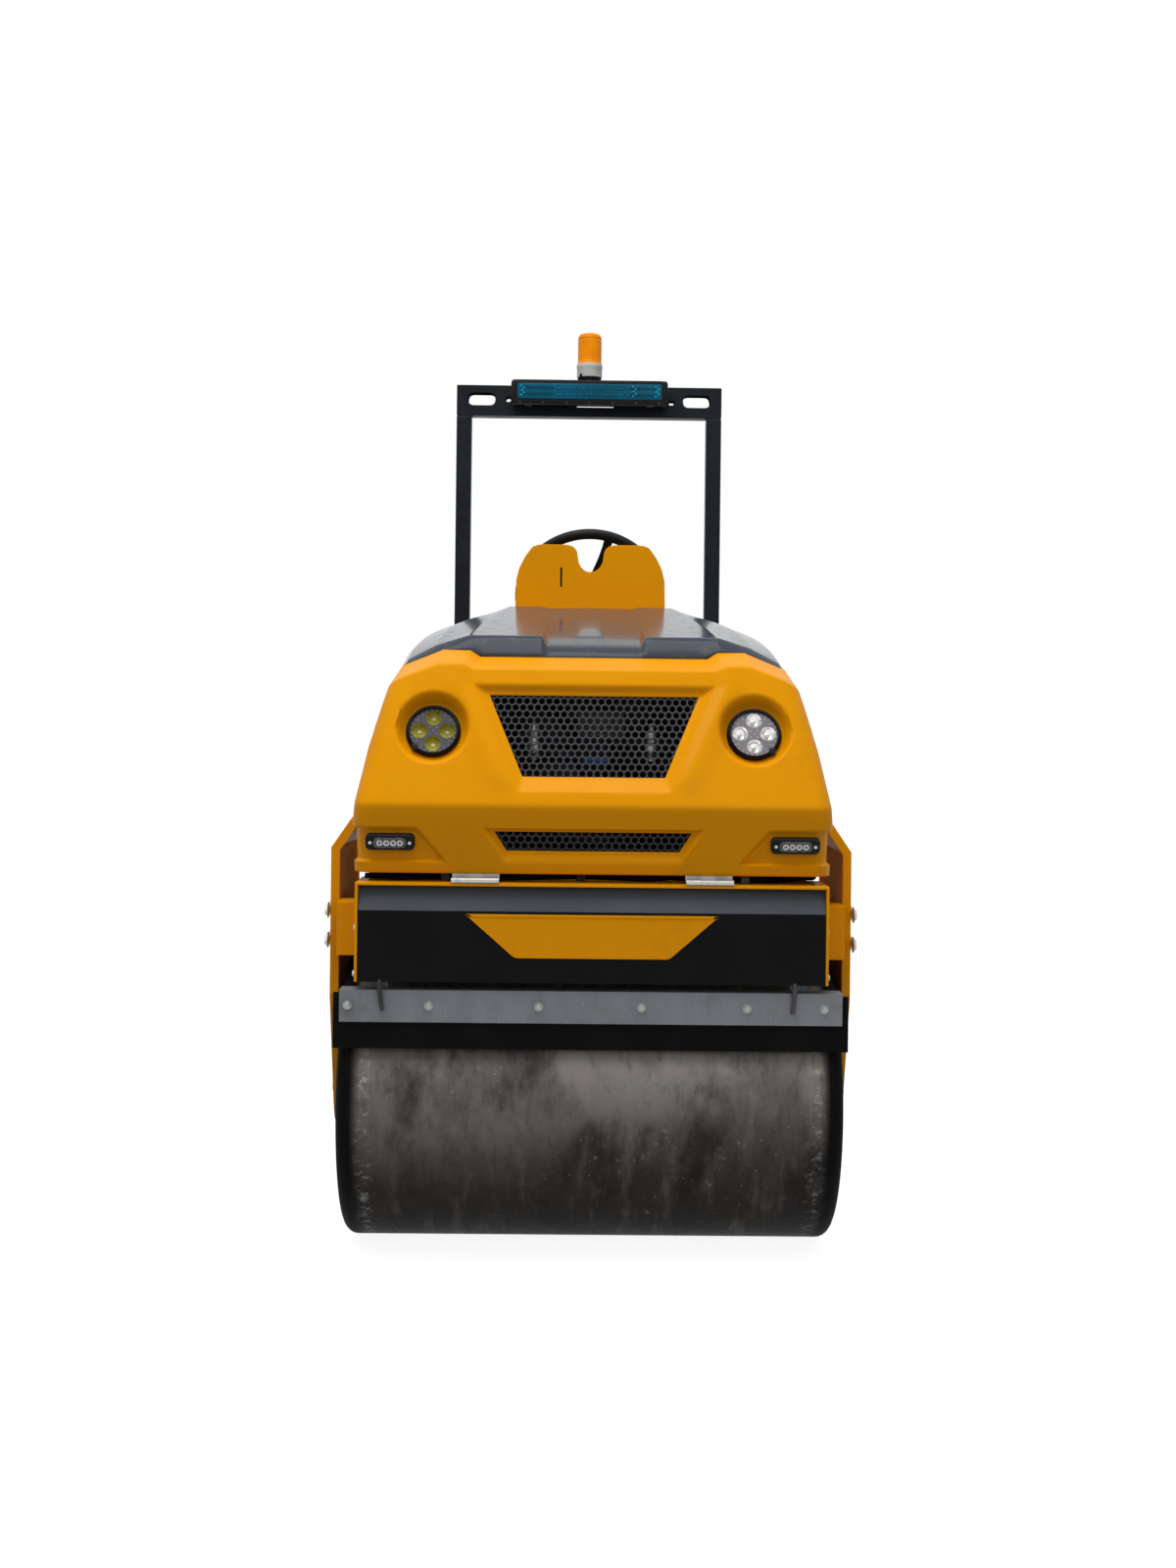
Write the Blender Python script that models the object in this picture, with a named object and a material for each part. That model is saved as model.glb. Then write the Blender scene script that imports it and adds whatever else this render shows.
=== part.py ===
"""Mini tandem asphalt roller with an articulated frame, in metres.

X runs across the machine, -Y is the engine end that faces the camera, +Z is up.
The drums stand on the floor at Z = 0 and the frame's steering pin stands on X = Y = 0.
"""

import math

import bmesh
import bpy

# Overall layout
WHEELBASE = 1.50
DRUM_RADIUS = 0.28
DRUM_WIDTH = 0.896
DRUM_EDGE_RADIUS = 0.022
RECESS_RADIUS = 0.205
RECESS_DEPTH = 0.075
TOUCH_GAP = 0.0003
PLATE = 0.012
DECK_CLEARANCE = 0.040
AXLE_Y = WHEELBASE / 2
DRUM_FRONT = AXLE_Y + DRUM_RADIUS
DECK_HEIGHT = 2 * DRUM_RADIUS + DECK_CLEARANCE

# Drum arms, bent plates outside the drums
ARM_GAP = 0.012
ARM_THICKNESS = 0.016
ARM_STRAIGHT_RISE = 0.138
ARM_BEND_SLOPE = 0.68
ARM_HALF_DEPTH = 0.14
ARM_END_RADIUS = 0.085
HUB_RADIUS = 0.065
HUB_GAP = 0.009
SHAFT_RADIUS = 0.030
SHAFT_DEPTH = 0.030
ARM_INNER = DRUM_WIDTH / 2 + ARM_GAP
ARM_OUTER = ARM_INNER + ARM_THICKNESS
ARM_BEND_HEIGHT = DECK_HEIGHT + ARM_STRAIGHT_RISE

# Main frame halves
FRAME_INSET = 0.060
SIDE_RISE = 0.272
FRAME_END = 0.30
DECK_PAST_AXLE = 0.11
PIN_RADIUS = 0.020
LUG_RADIUS = 0.060
LUG_SPACING = 0.210
BARREL_RADIUS = 0.045
LUG_GAP = 0.003
FRAME_HALF = ARM_INNER - FRAME_INSET
SIDE_TOP = DECK_HEIGHT + SIDE_RISE
LOWER_LUG_HEIGHT = DECK_HEIGHT - LUG_SPACING
DECK_REACH = AXLE_Y + DECK_PAST_AXLE

# Steering cylinder, lying between the drums
CYLINDER_X = 0.12
CYLINDER_BASE_Y = 0.23
CYLINDER_EYE_Y = -0.15
CYLINDER_DROP = 0.100
CYLINDER_RADIUS = 0.025
ROD_RADIUS = 0.011
CYLINDER_HEIGHT = DECK_HEIGHT - CYLINDER_DROP

# Tank and scraper at each end
TANK_SIDE_GAP = 0.051
TANK_DROP = 0.084
TANK_HEIGHT = 0.168
TANK_CHAMFER = 0.043
TANK_OVERHANG = 0.010
TANK_DEPTH = 0.105
CRADLE_SHEET = 0.005
STRIP_SIDE_GAP = 0.007
STRIP_DROP = 0.015
STRIP_WIDTH = 0.057
FLAP_SPARE = 0.0045
FLAP_SHOWN = 0.047
FLAP_THICKNESS = 0.006
TANK_HALF = ARM_INNER - TANK_SIDE_GAP
TANK_BOTTOM = DECK_HEIGHT - TANK_DROP
TANK_TOP = TANK_BOTTOM + TANK_HEIGHT
TANK_FRONT = DRUM_FRONT + TANK_OVERHANG
STRIP_HALF = DRUM_WIDTH / 2 - STRIP_SIDE_GAP
STRIP_TOP = TANK_BOTTOM - STRIP_DROP
STRIP_BOTTOM = STRIP_TOP - STRIP_WIDTH
FLAP_HALF = DRUM_WIDTH / 2 + FLAP_SPARE
FLAP_BOTTOM = STRIP_BOTTOM - FLAP_SHOWN

# Hood
HOOD_SIDE_GAP = 0.040
HOOD_SHEET = 0.004
HOOD_CLEARANCE = 0.021
NOSE_OVERHANG = 0.032
CHIN_HEIGHT = 0.122
CHIN_SETBACK = 0.040
BROW_RISE = 0.239
BROW_SETBACK = 0.097
LEDGE_RISE = 0.020
LEDGE_DEPTH = 0.080
HOOD_REAR = 0.250
CORNER_LENGTH = 0.147
SILL_DROP = 0.024
HOOD_HALF = ARM_INNER - HOOD_SIDE_GAP
NOSE_REACH = DRUM_FRONT + NOSE_OVERHANG
HOOD_BOTTOM = TANK_TOP + HOOD_CLEARANCE
NOSE_HEIGHT = HOOD_BOTTOM + CHIN_HEIGHT
HOOD_BOTTOM_REACH = NOSE_REACH - CHIN_SETBACK
BROW_REACH = NOSE_REACH - BROW_SETBACK
BROW_HEIGHT = NOSE_HEIGHT + BROW_RISE
COVER_FRONT_REACH = BROW_REACH - LEDGE_DEPTH
COVER_FRONT_HEIGHT = BROW_HEIGHT + LEDGE_RISE
SIDE_SILL = SIDE_TOP - SILL_DROP
CORNER_REAR = NOSE_REACH - CORNER_LENGTH

# Operator's place
PLATFORM_RISE = 0.060
CONSOLE_FRONT = -0.150
CONSOLE_PLATE_RISE = 0.707
SEAT_RISE = 0.270
ROPS_BEHIND = 0.10
ROPS_INSET = 0.0365
ROPS_TUBE = 0.041
ROPS_RISE = 0.949
ROPS_BAR_HEIGHT = 0.084
LIGHT_BAR_DROP = 0.0685
LIGHT_BAR_HEIGHT = 0.0758
LIGHT_BAR_HALF = 0.2125
PLATFORM_HEIGHT = DECK_HEIGHT + PLATFORM_RISE
SEAT_TOP = PLATFORM_HEIGHT + SEAT_RISE
ROPS_Y = AXLE_Y - ROPS_BEHIND
ROPS_HALF = FRAME_HALF - ROPS_INSET
ROPS_TOP = SEAT_TOP + ROPS_RISE

PAINTS = {
    "paint_yellow": ((0.72, 0.29, 0.0), 0.35, 0.0),
    "paint_dark": ((0.02, 0.025, 0.03), 0.35, 0.0),
    "paint_black": ((0.01, 0.01, 0.01), 0.5, 0.0),
    "cover_slate": ((0.08, 0.09, 0.11), 0.12, 0.0),
    "steel_worn": ((0.18, 0.17, 0.16), 0.5, 1.0),
    "steel_bright": ((0.55, 0.55, 0.55), 0.3, 1.0),
    "rubber_black": ((0.012, 0.012, 0.012), 0.8, 0.0),
    "plastic_black": ((0.02, 0.02, 0.02), 0.5, 0.0),
    "cast_dark": ((0.06, 0.06, 0.065), 0.6, 0.6),
    "vinyl_black": ((0.015, 0.015, 0.015), 0.6, 0.0),
    "lamp_clear": ((0.6, 0.6, 0.6), 0.1, 0.0),
    "lens_teal": ((0.02, 0.22, 0.32), 0.1, 0.0),
    "lens_amber": ((0.9, 0.25, 0.0), 0.15, 0.0),
    "lens_red": ((0.5, 0.01, 0.01), 0.15, 0.0),
}


def paint(name):
    """The Principled material of one paint, made once."""
    found = bpy.data.materials.get(name)
    if found:
        return found
    colour, roughness, metallic = PAINTS[name]
    made = bpy.data.materials.new(name)
    made.use_nodes = True
    shader = made.node_tree.nodes["Principled BSDF"]
    shader.inputs["Base Color"].default_value = (*colour, 1.0)
    shader.inputs["Roughness"].default_value = roughness
    shader.inputs["Metallic"].default_value = metallic
    made.diffuse_color = (*colour, 1.0)
    return made


def solid(name, verts, faces, paint_name):
    """A named object from points and faces, with its normals outwards and round faces smooth."""
    mesh = bpy.data.meshes.new(name)
    mesh.from_pydata(verts, [], faces)
    shape = bmesh.new()
    shape.from_mesh(mesh)
    bmesh.ops.recalc_face_normals(shape, faces=shape.faces)
    shape.to_mesh(mesh)
    shape.free()
    mesh.shade_smooth()
    mesh.set_sharp_from_angle(angle=math.radians(30))
    made = bpy.data.objects.new(name, mesh)
    bpy.context.scene.collection.objects.link(made)
    mesh.materials.append(paint(paint_name))
    return made


def place(axis, along, first, second):
    """The point at a distance along an axis, with its other two coordinates in X, Y, Z order."""
    point = [first, second]
    point.insert("XYZ".index(axis), along)
    return tuple(point)


def prism(name, axis, outline, low, high, paint_name="paint_yellow"):
    """An outline in the other two axes, extruded along one axis."""
    count = len(outline)
    verts = [place(axis, low, *p) for p in outline] + [place(axis, high, *p) for p in outline]
    faces = [tuple(range(count)), tuple(range(count, 2 * count))]
    faces += [(i, (i + 1) % count, count + (i + 1) % count, count + i) for i in range(count)]
    return solid(name, verts, faces, paint_name)


def box(name, x, y, z, paint_name="paint_yellow"):
    """A box from three (low, high) pairs."""
    outline = [(x[0], y[0]), (x[1], y[0]), (x[1], y[1]), (x[0], y[1])]
    return prism(name, "Z", outline, z[0], z[1], paint_name)


def turned(name, axis, centre, profile, steps, paint_name):
    """A profile of (radius, distance along the axis) turned about the axis through centre."""
    rings, verts = [], []
    for radius, along in profile:
        ring = []
        for i in range(steps if radius > 0 else 1):
            angle = 2 * math.pi * i / steps
            first, second = radius * math.cos(angle), radius * math.sin(angle)
            point = place(axis, along, first, second)
            ring.append(len(verts))
            verts.append(tuple(c + p for c, p in zip(centre, point)))
        rings.append(ring)
    closed = profile[0][0] > 0
    faces = []
    for k in range(len(rings) if closed else len(rings) - 1):
        here, there = rings[k], rings[(k + 1) % len(rings)]
        for i in range(steps):
            j = (i + 1) % steps
            corners = [here[i % len(here)], here[j % len(here)], there[j % len(there)], there[i % len(there)]]
            faces.append(tuple(dict.fromkeys(corners)))
    return solid(name, verts, faces, paint_name)


def rod(name, axis, centre, radius, low, high, paint_name="steel_bright", steps=32):
    """A plain round bar."""
    return turned(name, axis, centre, [(0, low), (radius, low), (radius, high), (0, high)], steps, paint_name)


def arc(centre, radius, start, end, steps):
    """Points on an arc between two angles in degrees."""
    angles = [math.radians(start + (end - start) * i / steps) for i in range(steps + 1)]
    return [(centre[0] + radius * math.cos(a), centre[1] + radius * math.sin(a)) for a in angles]


def rounded(outline, radius, steps=4):
    """The outline with each corner rounded by a tangent arc, drawn as a quadratic curve."""
    points = []
    count = len(outline)
    for i, corner in enumerate(outline):
        before, after = outline[i - 1], outline[(i + 1) % count]
        ends = []
        for other in (before, after):
            length = math.dist(corner, other)
            reach = min(radius, 0.45 * length)
            ends.append([c + (o - c) * reach / length for c, o in zip(corner, other)])
        for k in range(steps + 1):
            t = k / steps
            points.append(tuple((1 - t) ** 2 * a + 2 * t * (1 - t) * c + t * t * b
                                for a, c, b in zip(ends[0], corner, ends[1])))
    return points


def inset(outline, distance):
    """The closed outline moved inwards by a distance, each side parallel to itself."""
    area = sum(a[0] * b[1] - b[0] * a[1] for a, b in zip(outline, outline[1:] + outline[:1]))
    turn = distance if area > 0 else -distance
    moved = []
    for before, here, after in zip(outline[-1:] + outline[:-1], outline, outline[1:] + outline[:1]):
        into, out = math.dist(before, here), math.dist(here, after)
        a = (-(here[1] - before[1]) / into, (here[0] - before[0]) / into)
        b = (-(after[1] - here[1]) / out, (after[0] - here[0]) / out)
        share = turn / (1 + a[0] * b[0] + a[1] * b[1])
        moved.append((here[0] + share * (a[0] + b[0]), here[1] + share * (a[1] + b[1])))
    return moved


def mirrored(outline):
    """A right-hand half outline in (x, z), closed by its mirror image."""
    return outline + [(-x, z) for x, z in reversed(outline) if x > 1e-6]


def flipped(outline, end):
    """The same side outline for the front end (-1) or the rear end (1)."""
    return [(end * y, z) for y, z in outline]


def boolean(target, other, operation):
    """Adds an exact Boolean and hides the other shape."""
    modifier = target.modifiers.new(operation.lower(), "BOOLEAN")
    modifier.operation = operation
    modifier.solver = "EXACT"
    modifier.object = other
    other.hide_render = True
    other.display_type = "WIRE"
    return target


def cut(target, other):
    return boolean(target, other, "DIFFERENCE")


def join(target, other):
    return boolean(target, other, "UNION")


def keep(target, other):
    return boolean(target, other, "INTERSECT")


def moved_origin(made, origin):
    """Puts the object's origin on a joint's axis without moving its shape."""
    for point in made.data.vertices:
        point.co = [c - o for c, o in zip(point.co, origin)]
    made.location = origin
    return made


def drum(name, end):
    """A steel drum with rounded edges and dished ends, turning on its own axle."""
    half, r, e = DRUM_WIDTH / 2, DRUM_RADIUS, DRUM_EDGE_RADIUS
    floor = half - RECESS_DEPTH
    bore = SHAFT_RADIUS + TOUCH_GAP
    right = [(0, floor - SHAFT_DEPTH), (bore, floor - SHAFT_DEPTH), (bore, floor), (RECESS_RADIUS - 0.02, floor), (RECESS_RADIUS, half - 0.004)]
    right += [(RECESS_RADIUS + 0.01, half)]
    right += [(r - e + e * math.sin(a), half - e + e * math.cos(a))
              for a in (math.pi / 2 * k / 4 for k in range(5))]
    profile = right + [(radius, -along) for radius, along in reversed(right)]
    made = turned(name, "X", (0, end * AXLE_Y, DRUM_RADIUS), profile, 64, "steel_worn")
    return moved_origin(made, (0, end * AXLE_Y, DRUM_RADIUS))


def arm(name, end, side):
    """A bent plate from the frame's side over the drum's end, with a round foot and a motor hub."""
    axle = (AXLE_Y, DRUM_RADIUS)
    d = ARM_HALF_DEPTH
    top, foot = DECK_HEIGHT + 0.30, DECK_HEIGHT - 0.13
    outline = [(AXLE_Y - d, top), (AXLE_Y - d, foot)]
    outline += arc(axle, ARM_END_RADIUS, 197, 343, 12)
    outline += [(AXLE_Y + d + 0.01, foot), (AXLE_Y + d + 0.01, top)]
    plate = prism(name, "X", flipped(outline, end), side * (FRAME_HALF - 0.1), side * (ARM_OUTER + 0.1))
    slope = ARM_BEND_SLOPE
    reach = FRAME_HALF + TOUCH_GAP
    shift = ARM_THICKNESS * (math.sqrt(1 + slope**2) - 1) / slope
    profile = [(ARM_INNER, -0.1), (ARM_OUTER, -0.1), (ARM_OUTER, ARM_BEND_HEIGHT),
               (reach, ARM_BEND_HEIGHT + (ARM_OUTER - reach) / slope),
               (reach, ARM_BEND_HEIGHT - shift + (ARM_INNER - reach) / slope),
               (ARM_INNER, ARM_BEND_HEIGHT - shift)]
    bend = prism(name + "_bend", "Y", [(side * x, z) for x, z in profile], end * (AXLE_Y - 0.25), end * (AXLE_Y + 0.25))
    keep(plate, bend)
    inner = DRUM_WIDTH / 2 - RECESS_DEPTH + HUB_GAP
    hub = rod(name + "_hub", "X", (0, end * AXLE_Y, DRUM_RADIUS), HUB_RADIUS,
              side * inner, side * (ARM_INNER + 0.004), "cast_dark", 40)
    join(plate, hub)
    shaft = rod(name + "_shaft", "X", (0, end * AXLE_Y, DRUM_RADIUS), SHAFT_RADIUS,
                side * (inner - HUB_GAP - SHAFT_DEPTH + 0.002), side * (inner + 0.01), "steel_bright", 32)
    return join(plate, shaft)


def front_frame():
    """Deck, side plates, rear wall and the two lugs that hold the steering pin."""
    e, h = FRAME_END, DECK_HEIGHT
    lug = LUG_RADIUS
    half = FRAME_HALF
    outline = [(-half, -DECK_REACH), (half, -DECK_REACH), (half, -e), (lug + 0.06, -e), (lug, -e + 0.10)]
    outline += arc((0, 0), lug, 0, 180, 12) + [(-lug, -e + 0.10), (-lug - 0.06, -e)]
    outline += [(-half, -e)]
    made = prism("front_frame", "Z", outline, h, h + PLATE)
    for side in (-1, 1):
        x = sorted((side * (half - PLATE), side * half))
        join(made, box(f"front_side_{side}", x, (-DECK_REACH, -e), (h + PLATE / 2, SIDE_TOP)))
    join(made, box("front_wall", (-half + 0.001, half - 0.001), (-e - PLATE, -e), (h + 0.003, SIDE_TOP)))
    low = LOWER_LUG_HEIGHT
    join(made, box("front_web", (-0.20, 0.20), (-0.42, -0.405), (low, h + PLATE / 2)))
    lower = [(-0.20, -0.415), (0.20, -0.415), (0.16, -0.12), (0.10, -0.12), (lug, -0.05)]
    lower += arc((0, 0), lug, 0, 180, 12) + [(-lug, -0.05), (-0.10, -0.12), (-0.16, -0.12)]
    join(made, prism("front_lower_lug", "Z", lower, low, low + PLATE))
    join(made, box("front_eye_post", (0.095, 0.145), (-0.178, -0.122),
                   (low + PLATE / 2, CYLINDER_HEIGHT - 0.016)))
    for i, z in enumerate((h, low)):
        cut(made, rod(f"front_pin_hole_{i}", "Z", (0, 0, 0), PIN_RADIUS + TOUCH_GAP, z - 0.05, z + 0.05))
    return made


def rear_frame():
    """Deck, side plates, webs and the barrel that turns on the steering pin."""
    h, half = DECK_HEIGHT, FRAME_HALF
    made = box("rear_frame", (-half, half), (0.12, DECK_REACH), (h, h + PLATE))
    for side in (-1, 1):
        x = sorted((side * (half - PLATE), side * half))
        end = DECK_REACH - 0.005
        outline = [(0.125, h + PLATE / 2), (end, h + PLATE / 2), (end, SIDE_TOP), (0.3975, SIDE_TOP),
                   (0.3975, PLATFORM_HEIGHT - 0.0105), (0.125, PLATFORM_HEIGHT - 0.0105)]
        join(made, prism(f"rear_side_{side}", "X", outline, *x))
    join(made, box("rear_wall", (-half + 0.001, half - 0.001), (0.45, 0.45 + PLATE), (h + 0.003, SEAT_TOP - HOOD_SHEET - TOUCH_GAP)))
    for side in (-1, 1):
        tread = h - 0.240
        hanger = [(0.14, h + PLATE / 2), (0.35, h + PLATE / 2), (0.33, tread), (0.16, tread)]
        join(made, prism(f"step_hanger_{side}", "X", hanger, *sorted((side * (half - 0.015), side * (half - 0.009)))))
        join(made, box(f"step_tread_{side}", sorted((side * (half - 0.012), side * (half + 0.060))), (0.16, 0.33),
                       (tread, tread + 0.006)))
    low = LOWER_LUG_HEIGHT + PLATE + LUG_GAP
    top = h - LUG_GAP
    join(made, box("rear_web", (-0.20, 0.20), (0.405, 0.42), (low, h + PLATE / 2)))
    join(made, box("rear_spine", (-0.02, 0.02), (0.03, 0.41), (low + 0.02, top - 0.01)))
    join(made, rod("rear_barrel", "Z", (0, 0, 0), BARREL_RADIUS, low, top, steps=40))
    join(made, box("rear_bracket", (0.085, 0.155), (0.20, 0.41),
                   (CYLINDER_HEIGHT - 0.045, CYLINDER_HEIGHT - CYLINDER_RADIUS - 0.002)))
    join(made, rod("rear_bracket_pin", "Z", (CYLINDER_X, CYLINDER_BASE_Y, 0), 0.012,
                   CYLINDER_HEIGHT - 0.04, CYLINDER_HEIGHT + 0.03, steps=24))
    cut(made, rod("rear_pin_hole", "Z", (0, 0, 0), PIN_RADIUS + TOUCH_GAP, h - 0.3, h + 0.2))
    return made


def steering_cylinder():
    """Barrel on its pin and the rod that slides in it, with open clearance at the rod's eye."""
    x, y, z, r = CYLINDER_X, CYLINDER_BASE_Y, CYLINDER_HEIGHT, CYLINDER_RADIUS
    barrel = rod("cylinder_barrel", "Y", (x, 0, z), r, 0.0, y - 0.02, "paint_black", 32)
    join(barrel, rod("cylinder_base", "Z", (x, y, z), 0.026, -r, r, steps=32))
    cut(barrel, rod("cylinder_base_hole", "Z", (x, y, z), 0.012 + TOUCH_GAP, -0.1, 0.1, steps=24))
    cut(barrel, rod("cylinder_bore", "Y", (x, 0, z), ROD_RADIUS + TOUCH_GAP, -0.1, y - 0.11, steps=24))
    piston = rod("cylinder_rod", "Y", (x, 0, z), ROD_RADIUS, CYLINDER_EYE_Y, 0.055, "steel_bright", 24)
    join(piston, rod("cylinder_eye", "Z", (x, CYLINDER_EYE_Y, z), 0.022, -0.014, 0.014, steps=32))
    return moved_origin(barrel, (x, y, z)), moved_origin(piston, (x, y, z))


def crossbeam(name, end):
    """The beam between the arms that carries the tank."""
    half = ARM_INNER - TOUCH_GAP
    y = sorted((end * (TANK_FRONT - TANK_DEPTH - 0.060), end * (TANK_FRONT - TANK_DEPTH - TOUCH_GAP)))
    return box(name, (-half, half), y, (TANK_BOTTOM + 0.030, TANK_TOP - 0.041))


def tank(name, end):
    """A black box above the scraper with a chamfered upper front edge."""
    outline = [(TANK_FRONT, TANK_BOTTOM), (TANK_FRONT, TANK_TOP - TANK_CHAMFER),
               (TANK_FRONT - 0.018, TANK_TOP), (TANK_FRONT - TANK_DEPTH, TANK_TOP),
               (TANK_FRONT - TANK_DEPTH, TANK_BOTTOM + 0.03), (TANK_FRONT - TANK_DEPTH + 0.03, TANK_BOTTOM)]
    return prism(name, "X", flipped(outline, end), -TANK_HALF, TANK_HALF, "paint_black")


def cradle(name, end):
    """One bent sheet over the tank's top and down its two ends."""
    inner, outer = TANK_HALF + TOUCH_GAP, TANK_HALF + TOUCH_GAP + CRADLE_SHEET
    low, top = TANK_BOTTOM, TANK_TOP + TOUCH_GAP
    outline = [(-outer, low), (-inner, low), (-inner, top), (inner, top), (inner, low), (outer, low),
               (outer, top + CRADLE_SHEET), (-outer, top + CRADLE_SHEET)]
    y = sorted((end * (TANK_FRONT + 0.001), end * (TANK_FRONT - TANK_DEPTH)))
    return prism(name, "Y", outline, *y)


def badge():
    """The blank trapezoid plate on the front tank."""
    low, high = TANK_BOTTOM + 0.044, TANK_TOP - 0.048
    outline = rounded([(-0.135, low), (0.135, low), (0.222, high), (-0.222, high)], 0.012)
    return prism("badge_plate", "Y", outline, -TANK_FRONT - 0.0033, -TANK_FRONT - TOUCH_GAP)


def scraper(prefix, end):
    """The angle strip that holds the rubber flap against the drum."""
    t = 0.005
    f, low, top = DRUM_FRONT, STRIP_BOTTOM, STRIP_TOP
    outline = [(f, low), (f, top), (f - 0.035, top), (f - 0.035, top - t), (f - t, top - t), (f - t, low)]
    strip = prism(prefix + "_strip", "X", flipped(outline, end), -STRIP_HALF, STRIP_HALF, "steel_worn")
    for side in (-1, 1):
        centre = side * (TANK_HALF - 0.039)
        join(strip, box(f"{prefix}_hanger_{side}", (centre - 0.012, centre + 0.012),
                        sorted((end * (f - 0.03), end * (f - 0.022))),
                        (top - 0.002, TANK_BOTTOM - TOUCH_GAP), "steel_worn"))
    back = f - t - TOUCH_GAP
    flap = box(prefix + "_flap", (-FLAP_HALF, FLAP_HALF), sorted((end * back, end * (back - FLAP_THICKNESS))),
               (FLAP_BOTTOM, top - t - 0.001), "rubber_black")
    return strip, flap


HOOD_SECTIONS = (
    # height, half width, reach of the front, corner radius
    (HOOD_BOTTOM - 0.105, HOOD_HALF - 0.004, HOOD_BOTTOM_REACH - 0.034, 0.030),
    (HOOD_BOTTOM, HOOD_HALF + 0.001, HOOD_BOTTOM_REACH, 0.036),
    (NOSE_HEIGHT - 0.027, HOOD_HALF + 0.002, NOSE_REACH - 0.010, 0.040),
    (NOSE_HEIGHT, HOOD_HALF - 0.001, NOSE_REACH, 0.042),
    (NOSE_HEIGHT + 0.098, HOOD_HALF - 0.020, NOSE_REACH - 0.0395, 0.044),
    (BROW_HEIGHT - 0.066, HOOD_HALF - 0.040, BROW_REACH + 0.027, 0.044),
    (BROW_HEIGHT, HOOD_HALF - 0.059, BROW_REACH, 0.046),
    (COVER_FRONT_HEIGHT, HOOD_HALF - 0.064, COVER_FRONT_REACH, 0.060),
    (COVER_FRONT_HEIGHT + 0.024, HOOD_HALF - 0.078, COVER_FRONT_REACH - 0.013, 0.080),
    (COVER_FRONT_HEIGHT + 0.044, HOOD_HALF - 0.098, COVER_FRONT_REACH - 0.027, 0.100),
    (COVER_FRONT_HEIGHT + 0.069, HOOD_HALF - 0.136, 0.690, 0.130),
    (COVER_FRONT_HEIGHT + 0.094, HOOD_HALF - 0.182, 0.505, 0.130),
    (COVER_FRONT_HEIGHT + 0.112, HOOD_HALF - 0.224, 0.385, 0.090),
    (COVER_FRONT_HEIGHT + 0.129, HOOD_HALF - 0.270, 0.300, 0.040),
)
CORNER_STEPS = 5


def loft(name, sections, paint_name):
    """A closed skin over sections with equally many (x, y, z) points, capped at both ends."""
    count = len(sections[0])
    verts = [point for section in sections for point in section]
    faces = [tuple(range(count)), tuple(range(len(verts) - count, len(verts)))]
    for k in range(len(sections) - 1):
        for i in range(count):
            j = (i + 1) % count
            faces.append((k * count + i, k * count + j, (k + 1) * count + j, (k + 1) * count + i))
    return solid(name, verts, faces, paint_name)


def hood_block(name, depth, paint_name="paint_yellow"):
    """The hood as level sections with rounded front corners, all moved inwards by a depth."""
    sections = []
    for height, half, reach, radius in HOOD_SECTIONS:
        outline = [(half, -HOOD_REAR)]
        outline += [(x, -y) for x, y in arc((half - radius, reach - radius), radius, 0, 90, CORNER_STEPS)]
        outline = outline + [(-x, y) for x, y in reversed(outline)]
        slope = 0.75 if height > COVER_FRONT_HEIGHT + 0.001 else 0.0
        sections.append([(x, y, height - slope * depth) for x, y in inset(outline, depth)])
    return loft(name, sections, paint_name)


UPPER_FACE = ((-NOSE_REACH, NOSE_HEIGHT), (-BROW_REACH, BROW_HEIGHT))
LOWER_FACE = ((-HOOD_BOTTOM_REACH, HOOD_BOTTOM), (-NOSE_REACH, NOSE_HEIGHT))


def face_point(face, height, depth):
    """The (y, z) of a point on a leaning face at a height, then moved inwards by a depth."""
    (y0, z0), (y1, z1) = face
    length = math.dist(*face)
    y = y0 + (height - z0) * (y1 - y0) / (z1 - z0)
    return y + depth * (z1 - z0) / length, height - depth * (y1 - y0) / length


def face_slab(name, face, outline, shallow, deep, paint_name):
    """A plate parallel to a leaning face, from an outline in (x, height on the face)."""
    count = len(outline)
    verts = [(x, *face_point(face, z, depth)) for depth in (shallow, deep) for x, z in outline]
    faces = [tuple(range(count)), tuple(range(count, 2 * count))]
    faces += [(i, (i + 1) % count, count + (i + 1) % count, count + i) for i in range(count)]
    return solid(name, verts, faces, paint_name)


GRILLE = [(-0.126, NOSE_HEIGHT + 0.050), (0.126, NOSE_HEIGHT + 0.050),
          (0.194, BROW_HEIGHT - 0.038), (-0.194, BROW_HEIGHT - 0.038)]
VENT = [(-0.1525, HOOD_BOTTOM + 0.034), (0.1525, HOOD_BOTTOM + 0.034),
        (0.1785, NOSE_HEIGHT - 0.046), (-0.1785, NOSE_HEIGHT - 0.046)]
LAMP_X, LAMP_HEIGHT, LAMP_RADIUS, BUCKET_RADIUS = HOOD_HALF - 0.135, NOSE_HEIGHT + 0.135, 0.046, 0.067
STROBE_X, STROBE_HEIGHT, STROBE_HALF = HOOD_HALF - 0.066, HOOD_BOTTOM + 0.057, (0.042, 0.0135)
MESH_SHEET = 0.0025


def strobe_outline(side):
    """The rounded outline of a strobe lamp on the lower face."""
    w, h = STROBE_HALF
    corners = ((-w, -h), (w, -h), (w, h), (-w, h))
    return rounded([(side * STROBE_X + x, STROBE_HEIGHT + z) for x, z in corners], h)


def strobe_pocket(side, shrink):
    """The trapezoid recess round a strobe lamp, moved inwards by a distance."""
    outer, low, high = HOOD_HALF - 0.010, HOOD_BOTTOM + 0.024, NOSE_HEIGHT - 0.044
    corners = ((outer, low), (outer, high), (outer - 0.100, high), (outer - 0.146, low))
    corners = [(side * x, z) for x, z in corners]
    return rounded(inset(corners, shrink), 0.006, 2)


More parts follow.
